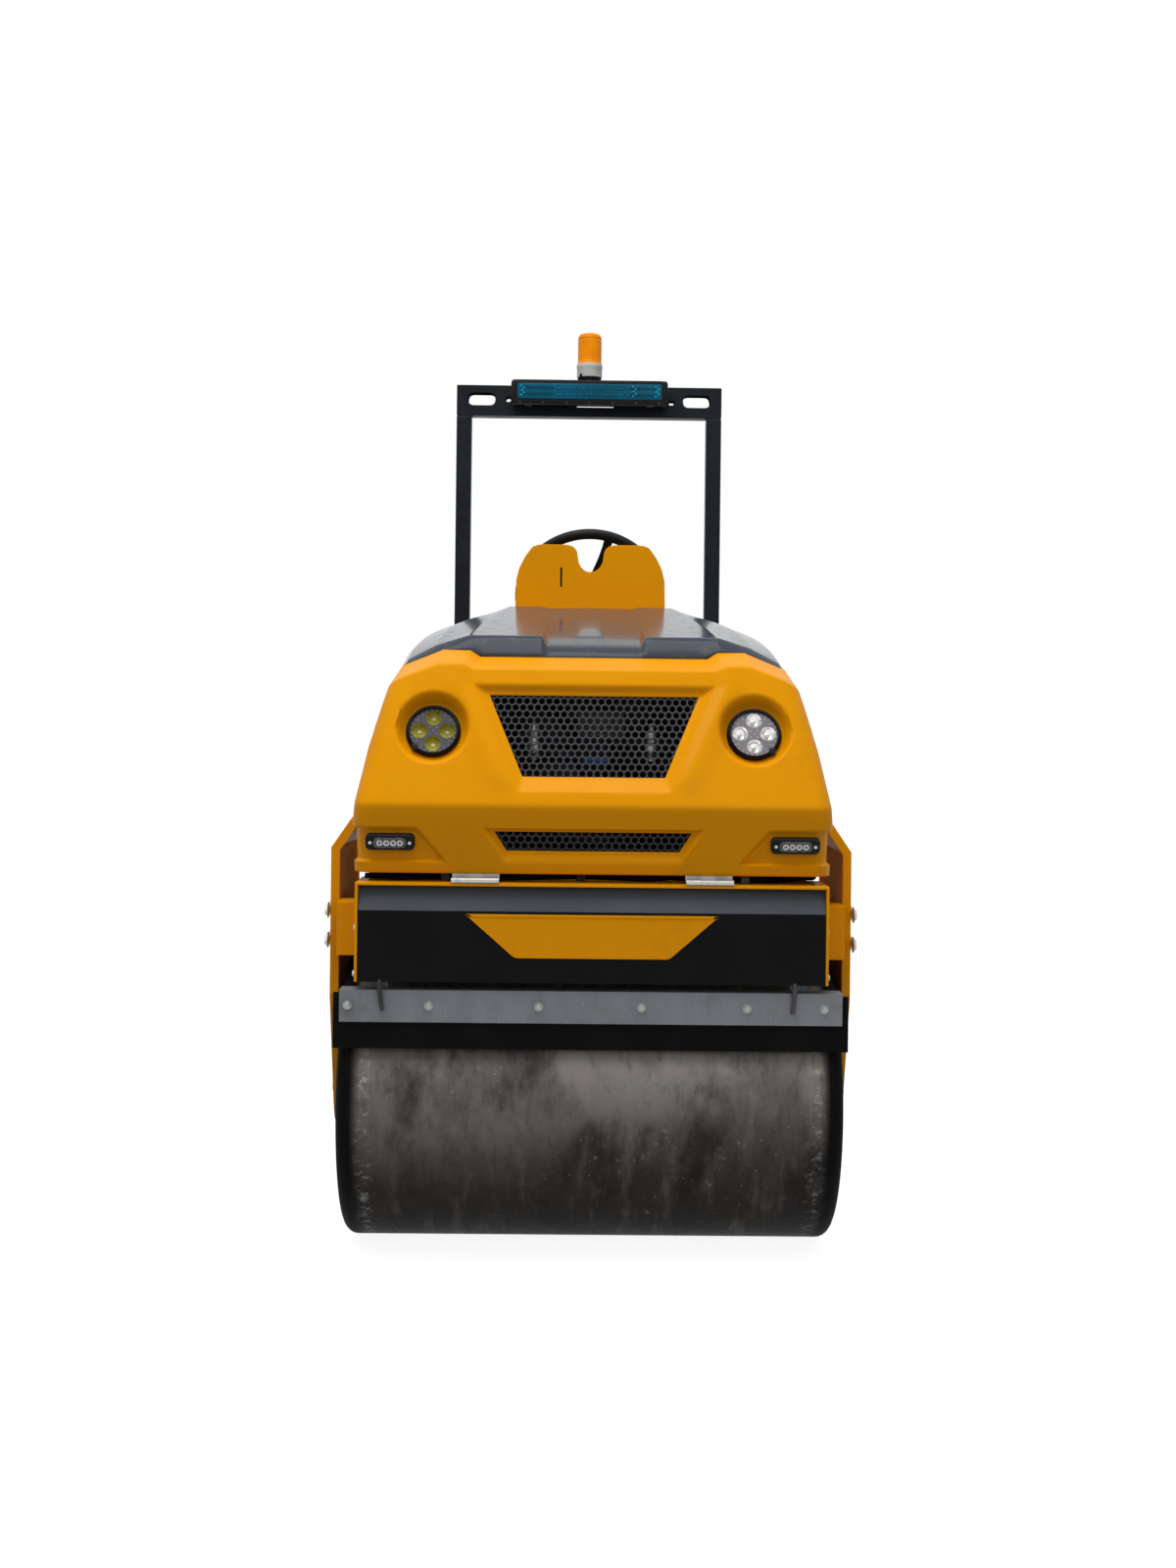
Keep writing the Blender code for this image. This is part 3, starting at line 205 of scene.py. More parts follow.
def slate_gloss():
    """Dark slate lacquer with a deep clear coat and a little dust."""
    paint = Finish("slate_gloss", Roughness=0.2, Coat_Weight=0.2, Coat_Roughness=0.02, Coat_IOR=1.3,
                   Specular_IOR_Level=0.05)
    cloud = paint.noise(5.0, 4.0)
    dust = paint.noise(38.0, 4.0).ramp(0.52, 0.8)
    base = paint_settings().slate
    colour = paint.blend(cloud.ramp(0.3, 0.75) * 0.4, base, scaled(base, 1.25))
    colour = paint.blend(dust * 0.12, colour, srgb(150, 150, 148))
    paint.set(Base_Color=colour, Roughness=0.16 + dust * 0.2)
    return paint.relief(paint.noise(300.0, 2.0), 0.00005, 0.4)


def satin_dark(name, colour, roughness=0.4, specular=0.35, scuffs=0.35, grain=0.0, dust=0.08):
    """Dark powder coat or moulded plastic, with scuffs that go grey, a fine grain, and a pale blue-grey painted
    sky reflection on what faces up, as strong as the dust argument.
    """
    paint = Finish(name, Specular_IOR_Level=specular)
    cloud = paint.noise(9.0, 4.0)
    streak = paint.noise(60.0, 3.0, (1, 1, 0.15), (5, 2, 1)).ramp(0.6, 0.78)
    shade = paint.blend(cloud.ramp(0.35, 0.7), colour, scaled(colour, 1.5))
    shade = paint.blend(streak * scuffs * cloud, shade, scaled(colour, 4.0))
    # painted sky reflection: faces that look up are blended towards pale blue-grey, as far as the dust argument
    # says
    facing = paint.node("ShaderNodeTexCoord", output="Normal")
    painted_sky_reflection = paint.node("ShaderNodeSeparateXYZ", output=2, Vector=facing).ramp(0.08, 0.42)
    shade = paint.blend(painted_sky_reflection * dust * (0.75 + cloud * 0.5), shade, srgb(118, 126, 136))
    paint.set(Base_Color=shade, Roughness=roughness + cloud.ramp(0.4, 0.75) * 0.12)
    return paint.relief(paint.noise(900.0 if grain else 500.0, 2.0), 0.0001 + grain, 0.45)


def bright_steel(name="bright_steel", colour=(0.42, 0.42, 0.41), roughness=0.34, spots=0.4):
    """Zinc-plated steel, brushed a little and dulled in spots."""
    steel = Finish(name, Metallic=1.0)
    brush = steel.noise(140.0, 3.0, (0.08, 1, 1))
    stain = steel.noise(45.0, 4.0, offset=(2, 2, 7)).ramp(0.55, 0.75) * spots
    shade = steel.blend(stain, colour, srgb(120, 104, 84))
    steel.set(Base_Color=shade, Roughness=roughness + brush * 0.18 + stain * 0.4)
    return steel.relief(brush, 0.00006, 0.5)


def strip_steel():
    """Dull galvanised strip, streaked downwards, with darker blotches and scratches."""
    steel = Finish("strip_steel", Metallic=0.25, Specular_IOR_Level=0.2)
    streak = steel.noise(24.0, 4.0, (1, 1, 0.3))
    cloud = steel.noise(11.0, 4.0)
    fine = steel.noise(170.0, 3.0, (1, 1, 0.3))
    shade = steel.blend(streak.ramp(0.35, 0.7) * 0.5, srgb(124, 127, 133), srgb(104, 107, 113))
    shade = steel.blend(cloud.ramp(0.55, 0.75) * 0.4, shade, srgb(84, 82, 80))
    shade = steel.blend(fine.ramp(0.62, 0.75) * 0.35, shade, srgb(168, 170, 172))
    steel.set(Base_Color=shade, Roughness=0.42 + streak * 0.16)
    return steel.relief(fine + streak * 0.5, 0.00012, 0.5)


def drum_steel(name, centre_y):
    """Rolled drum steel with painted light: pale grey above where it is lit, near black below as painted shade,
    with streaks around it, tar patches, chalky scuffs and dots.

    Its pattern lies on the unrolled skin: the place along the drum and the arc length around it."""
    steel = Finish(name, Specular_IOR_Level=0.05)
    x, y, z = steel.axes()
    ahead, above = y - centre_y, z - DRUM_RADIUS
    turn = steel.math("ARCTAN2", above, ahead * math.copysign(1.0, centre_y)) * DRUM_RADIUS
    radius = steel.math("SQRT", above ** 2 + ahead ** 2)
    skin = steel.node("ShaderNodeCombineXYZ", X=x, Y=turn, Z=0.0)

    def grain(scale, stretch, detail=4.0, roughness=0.6):
        spread = steel.node("ShaderNodeMapping", Vector=skin, Scale=stretch)
        return steel.node("ShaderNodeTexNoise", Vector=spread, Scale=scale, Detail=detail, Roughness=roughness)

    cloud = grain(5.0, (1.0, 0.8, 1.0))
    streak = grain(20.0, (1.0, 0.22, 1.0), 5.0, 0.6)
    patch = grain(7.5, (1.0, 0.6, 1.0), 4.0, 0.55)
    fine = grain(120.0, (1.0, 0.25, 1.0), 4.0, 0.7)
    scuff = grain(52.0, (0.8, 1.0, 1.0), 6.0, 0.8)
    # painted light and shade: near black low on the drum, pale grey higher up, as light falls from above
    height = z.ramp(0.04, 0.52)
    shade = steel.blend(height, srgb(13, 12, 11), srgb(160, 154, 148))
    shade = steel.blend(cloud.ramp(0.38, 0.62) * 0.5, shade, srgb(42, 39, 37))
    shade = steel.blend(streak.ramp(0.5, 0.7) * 0.3, shade, srgb(134, 130, 126))
    shade = steel.blend(patch.ramp(0.50, 0.68) * 0.72, shade, srgb(24, 22, 21))
    mottle = grain(34.0, (1.0, 0.45, 1.0), 6.0, 0.75)
    shade = steel.blend(mottle.ramp(0.50, 0.66) * 0.34, shade, srgb(32, 30, 29))
    # painted highlight: pale mottling only where the top is lit
    shade = steel.blend(mottle.ramp(0.50, 0.36) * height * 0.2, shade, srgb(150, 146, 142))
    edge = abs(x).ramp(0.400, 0.4245)
    rim = abs(x).ramp(0.372, 0.402)
    chalk = grain(13.0, (1.0, 0.35, 1.0), 5.0, 0.7).ramp(0.56, 0.68)
    pale = (scuff + rim * 0.045).ramp(0.54, 0.68) * (0.10 + chalk * 0.7 + rim * 0.8)
    shade = steel.blend(pale * 0.75 * (1 - edge), shade, srgb(178, 176, 172))
    dots = steel.cells(60.0, skin)
    shade = steel.blend((1 - dots.ramp(0.04, 0.12)) * cloud.ramp(0.5, 0.6) * 0.55, shade, srgb(176, 174, 170))
    shade = steel.blend(edge, shade, srgb(8, 8, 8))
    inner = 1 - radius.ramp(0.235, 0.262)
    shade = steel.blend(inner, shade, srgb(24, 23, 23))
    steel.set(Base_Color=shade, Roughness=0.5 + fine * 0.2 + edge * 0.1, Metallic=0.12 * (1 - edge))
    return steel.relief(fine * 0.6 + scuff * 0.7 + streak * 0.25, 0.0005, 0.5)


def rubber():
    """Black rubber with dust in its grain and faint sag lines."""
    made = Finish("rubber", Specular_IOR_Level=0.06)
    cloud = made.noise(12.0, 4.0)
    fine = made.noise(240.0, 3.0)
    shade = made.blend(cloud.ramp(0.4, 0.75) * 0.5 + fine * 0.1, srgb(6, 6, 6), srgb(22, 21, 20))
    made.set(Base_Color=shade, Roughness=0.62 + cloud * 0.2)
    return made.relief(fine + cloud * 2, 0.0003, 0.5)


def cast_iron():
    """Sand-cast metal under a dull dark coat."""
    made = Finish("cast_iron", Metallic=0.4)
    cloud, grit = made.noise(14.0, 5.0), made.noise(210.0, 4.0)
    shade = made.blend(cloud.ramp(0.35, 0.7), srgb(44, 44, 46), srgb(74, 72, 70))
    shade = made.blend(grit.ramp(0.6, 0.75) * 0.5, shade, srgb(104, 90, 74))
    made.set(Base_Color=shade, Roughness=0.62 + grit * 0.15)
    return made.relief(grit + cloud, 0.0006, 0.6)


def vinyl():
    """Embossed black seat vinyl with creases and a soft sheen."""
    made = Finish("vinyl", Specular_IOR_Level=0.4, Sheen_Weight=0.1)
    pebble = made.cells(420.0)
    crease = made.noise(22.0, 5.0, (1, 0.6, 1))
    shade = made.blend(crease.ramp(0.45, 0.75) * 0.6, srgb(20, 20, 21), srgb(46, 45, 45))
    made.set(Base_Color=shade, Roughness=0.45 + crease * 0.2)
    return made.relief(pebble * 0.5 + crease * 1.5, 0.0005, 0.55)


def clear_glass():
    """A moulded lens, slightly dusty, that lets most light through."""
    made = Finish("clear_lens", Transmission_Weight=0.95, IOR=1.46, Specular_IOR_Level=0.5)
    dust = made.noise(90.0, 4.0).ramp(0.5, 0.8)
    shade = made.blend(dust * 0.2, (0.95, 0.96, 0.97), srgb(200, 200, 195))
    made.set(Base_Color=shade, Roughness=0.05 + dust * 0.12)
    return made.relief(made.noise(260.0, 2.0), 0.0001, 0.4)


def chrome():
    """Vacuum-plated reflector with faint haze."""
    made = Finish("chrome", Metallic=1.0)
    plated = (0.78, 0.78, 0.78)
    haze = made.noise(120.0, 3.0)
    made.set(Base_Color=made.blend(haze.ramp(0.4, 0.8) * 0.5, plated, scaled(plated, 0.6)),
             Roughness=0.12 + haze * 0.12)
    return made.relief(haze, 0.0001, 0.4)


FINISHES = {
    # key: function, then its values
    "yellow": (yellow_paint,),
    "slate": (slate_gloss,),
    "tube": (satin_dark, "tube_coat", srgb(27, 31, 36), 0.36, 0.06, 0.2),
    # the tank's last value, 0.42, paints a strong pale sky reflection on its up-facing chamfer
    "tank": (satin_dark, "tank_coat", srgb(12, 12, 13), 0.42, 0.06, 0.1, 0.0, 0.42),
    "mesh": (satin_dark, "mesh_coat", srgb(38, 38, 41), 0.45, 0.2, 0.3),
    "black": (satin_dark, "black_plastic", srgb(14, 14, 15), 0.5, 0.12, 0.3, 0.0001),
    # dark engine parts, and also the black sheets that paint shade behind the console's slot and under the rear
    # louvers
    "inner": (satin_dark, "inner_black", srgb(11, 11, 12), 0.7, 0.06, 0.3),
    "steel": (bright_steel,),
    "strip": (strip_steel,),
    "rubber": (rubber,),
    "cast": (cast_iron,),
    "vinyl": (vinyl,),
    "chrome": (chrome,),
    # painted reflection: the left lamp's reflector cups, olive satin in place of what their chrome reflects
    "gold_cup": (satin_dark, "gold_cup", srgb(134, 128, 14), 0.3, 0.3, 0.3),
    "gold_chip": (satin_dark, "gold_chip", srgb(182, 170, 132), 0.3, 0.3, 0.1),
    "clear": (clear_glass,),
    # black lamp body, also painted shade for the gap round each headlamp
    "smoke": (satin_dark, "lamp_body", srgb(13, 13, 15), 0.4, 0.1, 0.3),
    "lamp_plate": (satin_dark, "lamp_plate", srgb(52, 50, 58), 0.3, 0.3, 0.4),
    # painted reflection: the right lamp's plate, a paler copy of the left lamp's plate
    "lamp_plate_pale": (satin_dark, "lamp_plate_pale", srgb(104, 101, 106), 0.28, 0.4, 0.5),
    # painted glints: the pale dots on the left lamp's plate
    "lamp_dot": (satin_dark, "lamp_dot", srgb(118, 114, 120), 0.3, 0.4, 0.1),
    "bolt": (bright_steel, "bolt_steel", (0.30, 0.31, 0.30), 0.4, 0.8),
    "teal": (satin_dark, "teal_lens", srgb(4, 84, 110), 0.2, 0.08, 0.1, 0.0, 0.0),
    "amber": (satin_dark, "amber_lens", srgb(240, 128, 0), 0.25, 0.1, 0.05, 0.0, 0.0),
    "amber_core": (satin_dark, "amber_core", srgb(226, 120, 8), 0.4, 0.2, 0.1),
    "teal_dark": (satin_dark, "teal_shade", srgb(2, 58, 80), 0.3, 0.1, 0.1, 0.0, 0.0),
    "teal_light": (satin_dark, "teal_glint", srgb(20, 138, 166), 0.25, 0.2, 0.1, 0.0, 0.0),
    "red": (satin_dark, "red_lens", srgb(150, 12, 10), 0.25, 0.35, 0.1),
    "pale": (satin_dark, "pale_plastic", srgb(168, 168, 163), 0.45, 0.4, 0.1),
    "dirty_yellow": (yellow_paint, "dirty_yellow_paint", 0.9),
    "blue": (satin_dark, "blue_plastic", srgb(22, 74, 140), 0.4, 0.4, 0.1),
    "front_drum": (drum_steel, "front_drum_steel", -DRUM_Y),
    "rear_drum": (drum_steel, "rear_drum_steel", DRUM_Y),
}
MADE = {}


def finish(key):
    """The material of one finish, made once."""
    if key not in MADE:
        make, *values = FINISHES[key]
        MADE[key] = make(*values).material
    return MADE[key]


# Shape kit: a shape is a surface worked out as arrays of points, and faces that index them

class Shape:
    """Points, faces and the finish number of each face. Shapes add up."""

    def __init__(self, points, faces, coat=0):
        self.points = np.asarray(points, float).reshape(-1, 3)
        self.faces = faces.tolist() if isinstance(faces, np.ndarray) else [list(f) for f in faces]
        self.coats = [coat] * len(self.faces)

    def __add__(self, other):
        made = self.on(np.vstack([self.points, other.points]))
        shift = len(self.points)
        made.faces = self.faces + [[i + shift for i in f] for f in other.faces]
        made.coats = self.coats + other.coats
        return made

    def __radd__(self, nothing):
        return self

    def on(self, points):
        """The same faces on other points."""
        made = Shape(points, [])
        made.faces, made.coats = self.faces, self.coats
        return made

    def mapped(self, function):
        """The shape with its points (x, y, z arrays) sent through a function."""
        return self.on(np.stack(function(*self.points.T), -1))

    def moved(self, x=0.0, y=0.0, z=0.0):
        """The shape a distance along each axis."""
        return self.mapped(lambda a, b, c: (a + x, b + y, c + z))

    def placed(self, origin, across, up):
        """The shape with its X laid along across, its Y along up and its Z along their cross product."""
        a = np.asarray(across, float) / np.linalg.norm(across)
        u = np.asarray(up, float) - a * np.dot(a, up)
        u /= np.linalg.norm(u)
        return self.on(self.points @ np.stack([a, u, np.cross(a, u)]) + np.asarray(origin, float))

    def facing(self, way, origin):
        """The shape laid so that its Z points one way, such as -y, with its Y up."""
        return self.placed(origin, *FACING[way])


# way that Z points: where X and Y point
FACING = {"-y": ((1, 0, 0), (0, 0, 1)), "+y": ((-1, 0, 0), (0, 0, 1)), "+x": ((0, 1, 0), (0, 0, 1)),
          "-x": ((0, -1, 0), (0, 0, 1)), "+z": ((1, 0, 0), (0, 1, 0))}


def corners(node):
    """The lowest and the highest corner of a CAD node at rest."""
    return [np.array(corner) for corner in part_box(node)]


def grid(points, wrap_rows=False, wrap_columns=False, coat=0):
    """Quads over a grid of points[row, column]."""
    points = np.asarray(points, float)
    rows, columns = points.shape[:2]
    r, c = np.meshgrid(np.arange(rows if wrap_rows else rows - 1),
                       np.arange(columns if wrap_columns else columns - 1), indexing="ij")
    r1, c1 = (r + 1) % rows, (c + 1) % columns
    quads = np.stack([r * columns + c, r * columns + c1, r1 * columns + c1, r1 * columns + c], -1)
    return Shape(points, quads.reshape(-1, 4), coat)


def stack(rings, coat=0, caps=True):
    """Rings of equally many points, one above the other, joined by quads and closed at both ends."""
    rings = np.asarray(rings, float)
    made = grid(rings, wrap_columns=True, coat=coat)
    if caps:
        count, last = rings.shape[1], (rings.shape[0] - 1) * rings.shape[1]
        made.faces += [list(range(count))[::-1], list(range(last, last + count))]
        made.coats += [coat, coat]
    return made


def circle(radius, steps=32, centre=(0.0, 0.0), start=0.0):
    """Points round a circle in X and Y."""
    angle = start + 2 * np.pi * np.arange(steps) / steps
    return np.stack([centre[0] + radius * np.cos(angle), centre[1] + radius * np.sin(angle)], -1)


def rounded(outline, radius, steps=5):
    """The closed outline with each corner cut by a tangent curve; radius may be one value for each corner."""
    outline = np.asarray(outline, float)
    radius = np.broadcast_to(radius, len(outline)).astype(float)
    before, after = np.roll(outline, 1, 0), np.roll(outline, -1, 0)
    t = np.linspace(0, 1, steps + 1)[:, None]
    found = []
    for here, a, b, r in zip(outline, before, after, radius):
        la, lb = np.linalg.norm(a - here), np.linalg.norm(b - here)
        first = here + (a - here) * min(r, 0.48 * la) / la
        last = here + (b - here) * min(r, 0.48 * lb) / lb
        found.append((1 - t) ** 2 * first + 2 * t * (1 - t) * here + t ** 2 * last)
    return np.vstack(found)


def box_outline(width, height, radius=0.0, centre=(0.0, 0.0), steps=5):
    """A rectangle with rounded corners."""
    w, h = width / 2, height / 2
    corners = np.array([(-w, -h), (w, -h), (w, h), (-w, h)]) + centre
    return rounded(corners, radius, steps) if radius else corners


def signed_area(outline):
    """Twice the area inside a closed outline, below 0 where it runs clockwise."""
    after = np.roll(outline, -1, 0)
    return np.sum(outline[:, 0] * after[:, 1] - after[:, 0] * outline[:, 1])


def raised(outline, height):
    """A flat outline as points in space at one height."""
    return np.column_stack([outline, np.full(len(outline), height)])


def shrunk(outline, distance):
    """The closed outline moved inwards by a distance, each side parallel to itself."""
    outline = np.asarray(outline, float)
    keep = np.linalg.norm(outline - np.roll(outline, 1, 0), axis=1) > SMALL
    p = outline[keep]
    before, after = np.roll(p, 1, 0), np.roll(p, -1, 0)
    a, b = p - before, after - p
    a = np.stack([-a[:, 1], a[:, 0]], -1) / np.linalg.norm(a, axis=1)[:, None]
    b = np.stack([-b[:, 1], b[:, 0]], -1) / np.linalg.norm(b, axis=1)[:, None]
    share = math.copysign(distance, signed_area(p)) / np.maximum(1 + (a * b).sum(1), 0.3)
    moved = p + (a + b) * share[:, None]
    made = np.zeros_like(outline)
    made[keep] = moved
    index = np.maximum.accumulate(np.where(keep, np.arange(len(outline)), 0))
    return made[index]


def slab(outline, low, high, bevel=0.001, coat=0, steps=2):
    """A plate with rounded edges: the outline at rising heights, moved in along a quarter circle at both."""
    outline = np.asarray(outline, float)
    if signed_area(outline) < 0:
        outline = outline[::-1]
    turn = np.linspace(0, np.pi / 2, steps + 1)
    levels = [(bevel * (1 - np.sin(a)), low + bevel * (1 - np.cos(a))) for a in turn]
    levels += [(bevel * (1 - np.cos(a)), high - bevel * (1 - np.sin(a))) for a in turn]
    return stack([raised(shrunk(outline, d), z) for d, z in levels], coat)


def plate(outline, holes, low, high, bevel=0.001, coat=0):
    """A flat plate with holes: walls with small bevels round every loop, and both faces filled as triangles."""
    loops = [np.asarray(outline, float)] + [np.asarray(h, float) for h in holes]
    made, tops, bottoms = Shape(np.zeros((0, 3)), []), [], []
    for k, loop in enumerate(loops):
        if (signed_area(loop) < 0) != (k > 0):
            loop = loop[::-1]
        inward = bevel if k == 0 else -bevel
        levels = ((inward, low), (0.0, low + bevel), (0.0, high - bevel), (inward, high))
        rings = [raised(shrunk(loop, d), z) for d, z in levels]
        base = len(made.points)
        made += stack(rings, coat, caps=False)
        bottoms.append(list(range(base, base + len(loop))))
        tops.append(list(range(base + 3 * len(loop), base + 4 * len(loop))))
    for loops_of, turned in ((tops, False), (bottoms, True)):
        flat = [i for loop in loops_of for i in loop]
        found = geometry.tessellate_polygon([[(*made.points[i][:2], 0.0) for i in loop] for loop in loops_of])
        for tri in found:
            face = [flat[i] for i in tri]
            p = made.points[face]
            up = np.cross(p[1] - p[0], p[2] - p[0])[2] > 0
            made.faces.append(face if up != turned else face[::-1])
            made.coats.append(coat)
    return made


def border(outer, inner, low, high, bevel=0.0005, coat=0):
    """A raised frame between two outlines of equally many points, with bevelled top edges."""
    levels = ((outer, low), (outer, high - bevel), (shrunk(outer, bevel), high), (shrunk(inner, -bevel), high),
              (inner, high - bevel), (inner, low))
    return grid([raised(loop, z) for loop, z in levels], wrap_rows=True, wrap_columns=True, coat=coat)


def lathe(profile, steps=48, coat=0):
    """A profile of (radius, height) turned about Z, closed by its ends where they lie on the axis."""
    profile = np.asarray(profile, float)
    angle = 2 * np.pi * np.arange(steps) / steps
    points = np.stack([np.outer(profile[:, 0], np.cos(angle)), np.outer(profile[:, 0], np.sin(angle)),
                       np.repeat(profile[:, 1:2], steps, 1)], -1)
    return grid(points, wrap_columns=True, coat=coat)


def sweep(section, path, closed=False, coat=0, up=(0.0, 0.0, 1.0), scale=None):
    """A closed section (across, up) carried along a path, turned by the path's direction and kept upright."""
    path, section = np.asarray(path, float), np.asarray(section, float)
    ahead = np.roll(path, -1, 0) - np.roll(path, 1, 0)
    if not closed:
        ahead[0], ahead[-1] = path[1] - path[0], path[-1] - path[-2]
    ahead /= np.linalg.norm(ahead, axis=1)[:, None]
    up = np.broadcast_to(up, path.shape)
    side = np.cross(ahead, up)
    side /= np.maximum(np.linalg.norm(side, axis=1)[:, None], SMALL)
    top = np.cross(side, ahead)
    size = np.ones(len(path)) if scale is None else np.asarray(scale, float)
    rings = (path[:, None] + (side[:, None] * section[None, :, :1] + top[:, None] * section[None, :, 1:])
             * size[:, None, None])
    if closed:
        return grid(rings, wrap_rows=True, wrap_columns=True, coat=coat)
    return stack(rings, coat)


def curve_through(points, count=32):
    """A smooth curve through points: a Catmull-Rom spline sampled evenly in its parameter."""
    p = np.asarray(points, float)
    p = np.vstack([2 * p[0] - p[1], p, 2 * p[-1] - p[-2]])
    u = np.linspace(0, len(p) - 3 - 1e-9, count)
    i = u.astype(int)
    t = (u - i)[:, None]
    a, b, c, d = p[i], p[i + 1], p[i + 2], p[i + 3]
    return 0.5 * (2 * b + (c - a) * t + (2 * a - 5 * b + 4 * c - d) * t ** 2 + (3 * b - a - 3 * c + d) * t ** 3)


def pipe(points, radius, sides=14, count=32, up=(0.0, 0.0, 1.0), coat=0):
    """A round tube along a smooth curve through points."""
    return sweep(circle(radius, sides), curve_through(points, count), up=up, coat=coat)


def bolt(size=0.008, head=0.0055, washer=True, coat=0):
    """A hexagon head with a chamfered top on a thin washer, standing on Z = 0; size is half its width."""
    corner = size / math.cos(math.pi / 6)
    hexagon = circle(corner, 6)
    low = 0.0015 if washer else 0.0
    made = stack([raised(hexagon * s, z) for s, z in ((1.0, low - 0.0005), (1.0, low + head * 0.8),
                                                      (0.86, low + head))], coat)
    if washer:
        made += slab(circle(corner * 1.35, 20), 0.0, 0.0015, 0.0004, coat, 1)
    return made


def bolts(places, facing, size=0.0065, head=0.005, coat=0):
    """Hexagon heads on washers at places, all standing out of the same face."""
    return sum(bolt(size, head, coat=coat).facing(facing, place) for place in places)


def scene_object(name, shape):
    """A new object in the scene with the shape as its mesh."""
    mesh = bpy.data.meshes.new(name)
    mesh.from_pydata(shape.points.tolist(), [], shape.faces)
    mesh.polygons.foreach_set("material_index", shape.coats)
    made = bpy.data.objects.new(name, mesh)
    bpy.context.scene.collection.objects.link(made)
    return made


def mend(mesh, merge, thin=0.0, outward=True):
    """Merges a mesh's doubles, drops edges and faces thinner than thin, and turns its faces outwards."""
    edit = bmesh.new()
    edit.from_mesh(mesh)
    bmesh.ops.remove_doubles(edit, verts=edit.verts, dist=merge)
    if thin:
        bmesh.ops.dissolve_degenerate(edit, edges=edit.edges, dist=thin)
    if outward:
        bmesh.ops.recalc_face_normals(edit, faces=edit.faces)
    edit.to_mesh(mesh)
    edit.free()


def round_edges(made, width):
    """Bevels the edges that turn by more than 35 degrees."""
    soft = made.modifiers.new("Edges", "BEVEL")
    soft.width, soft.segments, soft.limit_method, soft.angle_limit = width, 2, "ANGLE", math.radians(35)


def piece(name, shape, coats, body, replaces=(), crease=32.0, wall=None):
    """A finished object: merged points, outward faces, its finishes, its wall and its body."""
    made = scene_object(name, shape)
    mesh = made.data
    mend(mesh, 2e-6, 1e-6, wall is None)
    for key in [coats] if isinstance(coats, str) else coats:
        mesh.materials.append(finish(key))
    mesh.shade_smooth()
    mesh.set_sharp_from_angle(angle=math.radians(crease))
    if wall is not None:
        solid = made.modifiers.new("Wall", "SOLIDIFY")
        solid.thickness, solid.offset = wall, -1.0
    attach(made, body)
    if replaces:
        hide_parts(*replaces)


def dress(node, key, edge):
    """Gives a kept CAD node its finish, and rounds its edges with modifiers after its flat faces are joined."""
    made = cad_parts[node]
    made.data.materials.clear()
    made.data.materials.append(finish(key))
    weld = made.modifiers.new("Weld", "WELD")
    weld.merge_threshold = 0.00002
    flat = made.modifiers.new("Flat", "DECIMATE")
    flat.decimate_type, flat.angle_limit = "DISSOLVE", math.radians(1.0)
    round_edges(made, edge)


# Settings

class RollerPaints(bpy.types.PropertyGroup):
    """Colours that a user would change."""

    yellow: bpy.props.FloatVectorProperty(
        name="Yellow", description="Body paint", subtype="COLOR", min=0, max=1, default=srgb(231, 152, 0))
    slate: bpy.props.FloatVectorProperty(
        name="Slate", description="Hood cover lacquer", subtype="COLOR", min=0, max=1, default=srgb(62, 68, 78))
    floor: bpy.props.FloatVectorProperty(
        name="Floor", description="Studio floor", subtype="COLOR", min=0, max=1, default=(0.26, 0.26, 0.26))


class RollerSizes(bpy.types.PropertyGroup):
    """Sizes that a user would change."""

    mesh_pitch: bpy.props.FloatProperty(
        name="Grille pitch", description="Distance between the grille's holes", default=0.0133, min=0.008,
        max=0.03, unit="LENGTH")
    hood_cell: bpy.props.FloatProperty(
        name="Hood cell", description="Spacing of the points on the hood's face", default=0.0034, min=0.002,
        max=0.02, unit="LENGTH")


def paint_settings():
    """The user's colours."""
    return bpy.context.scene.roller_paints


def sizes():
    """The user's sizes."""
    return bpy.context.scene.roller_sizes


# Camera and stage

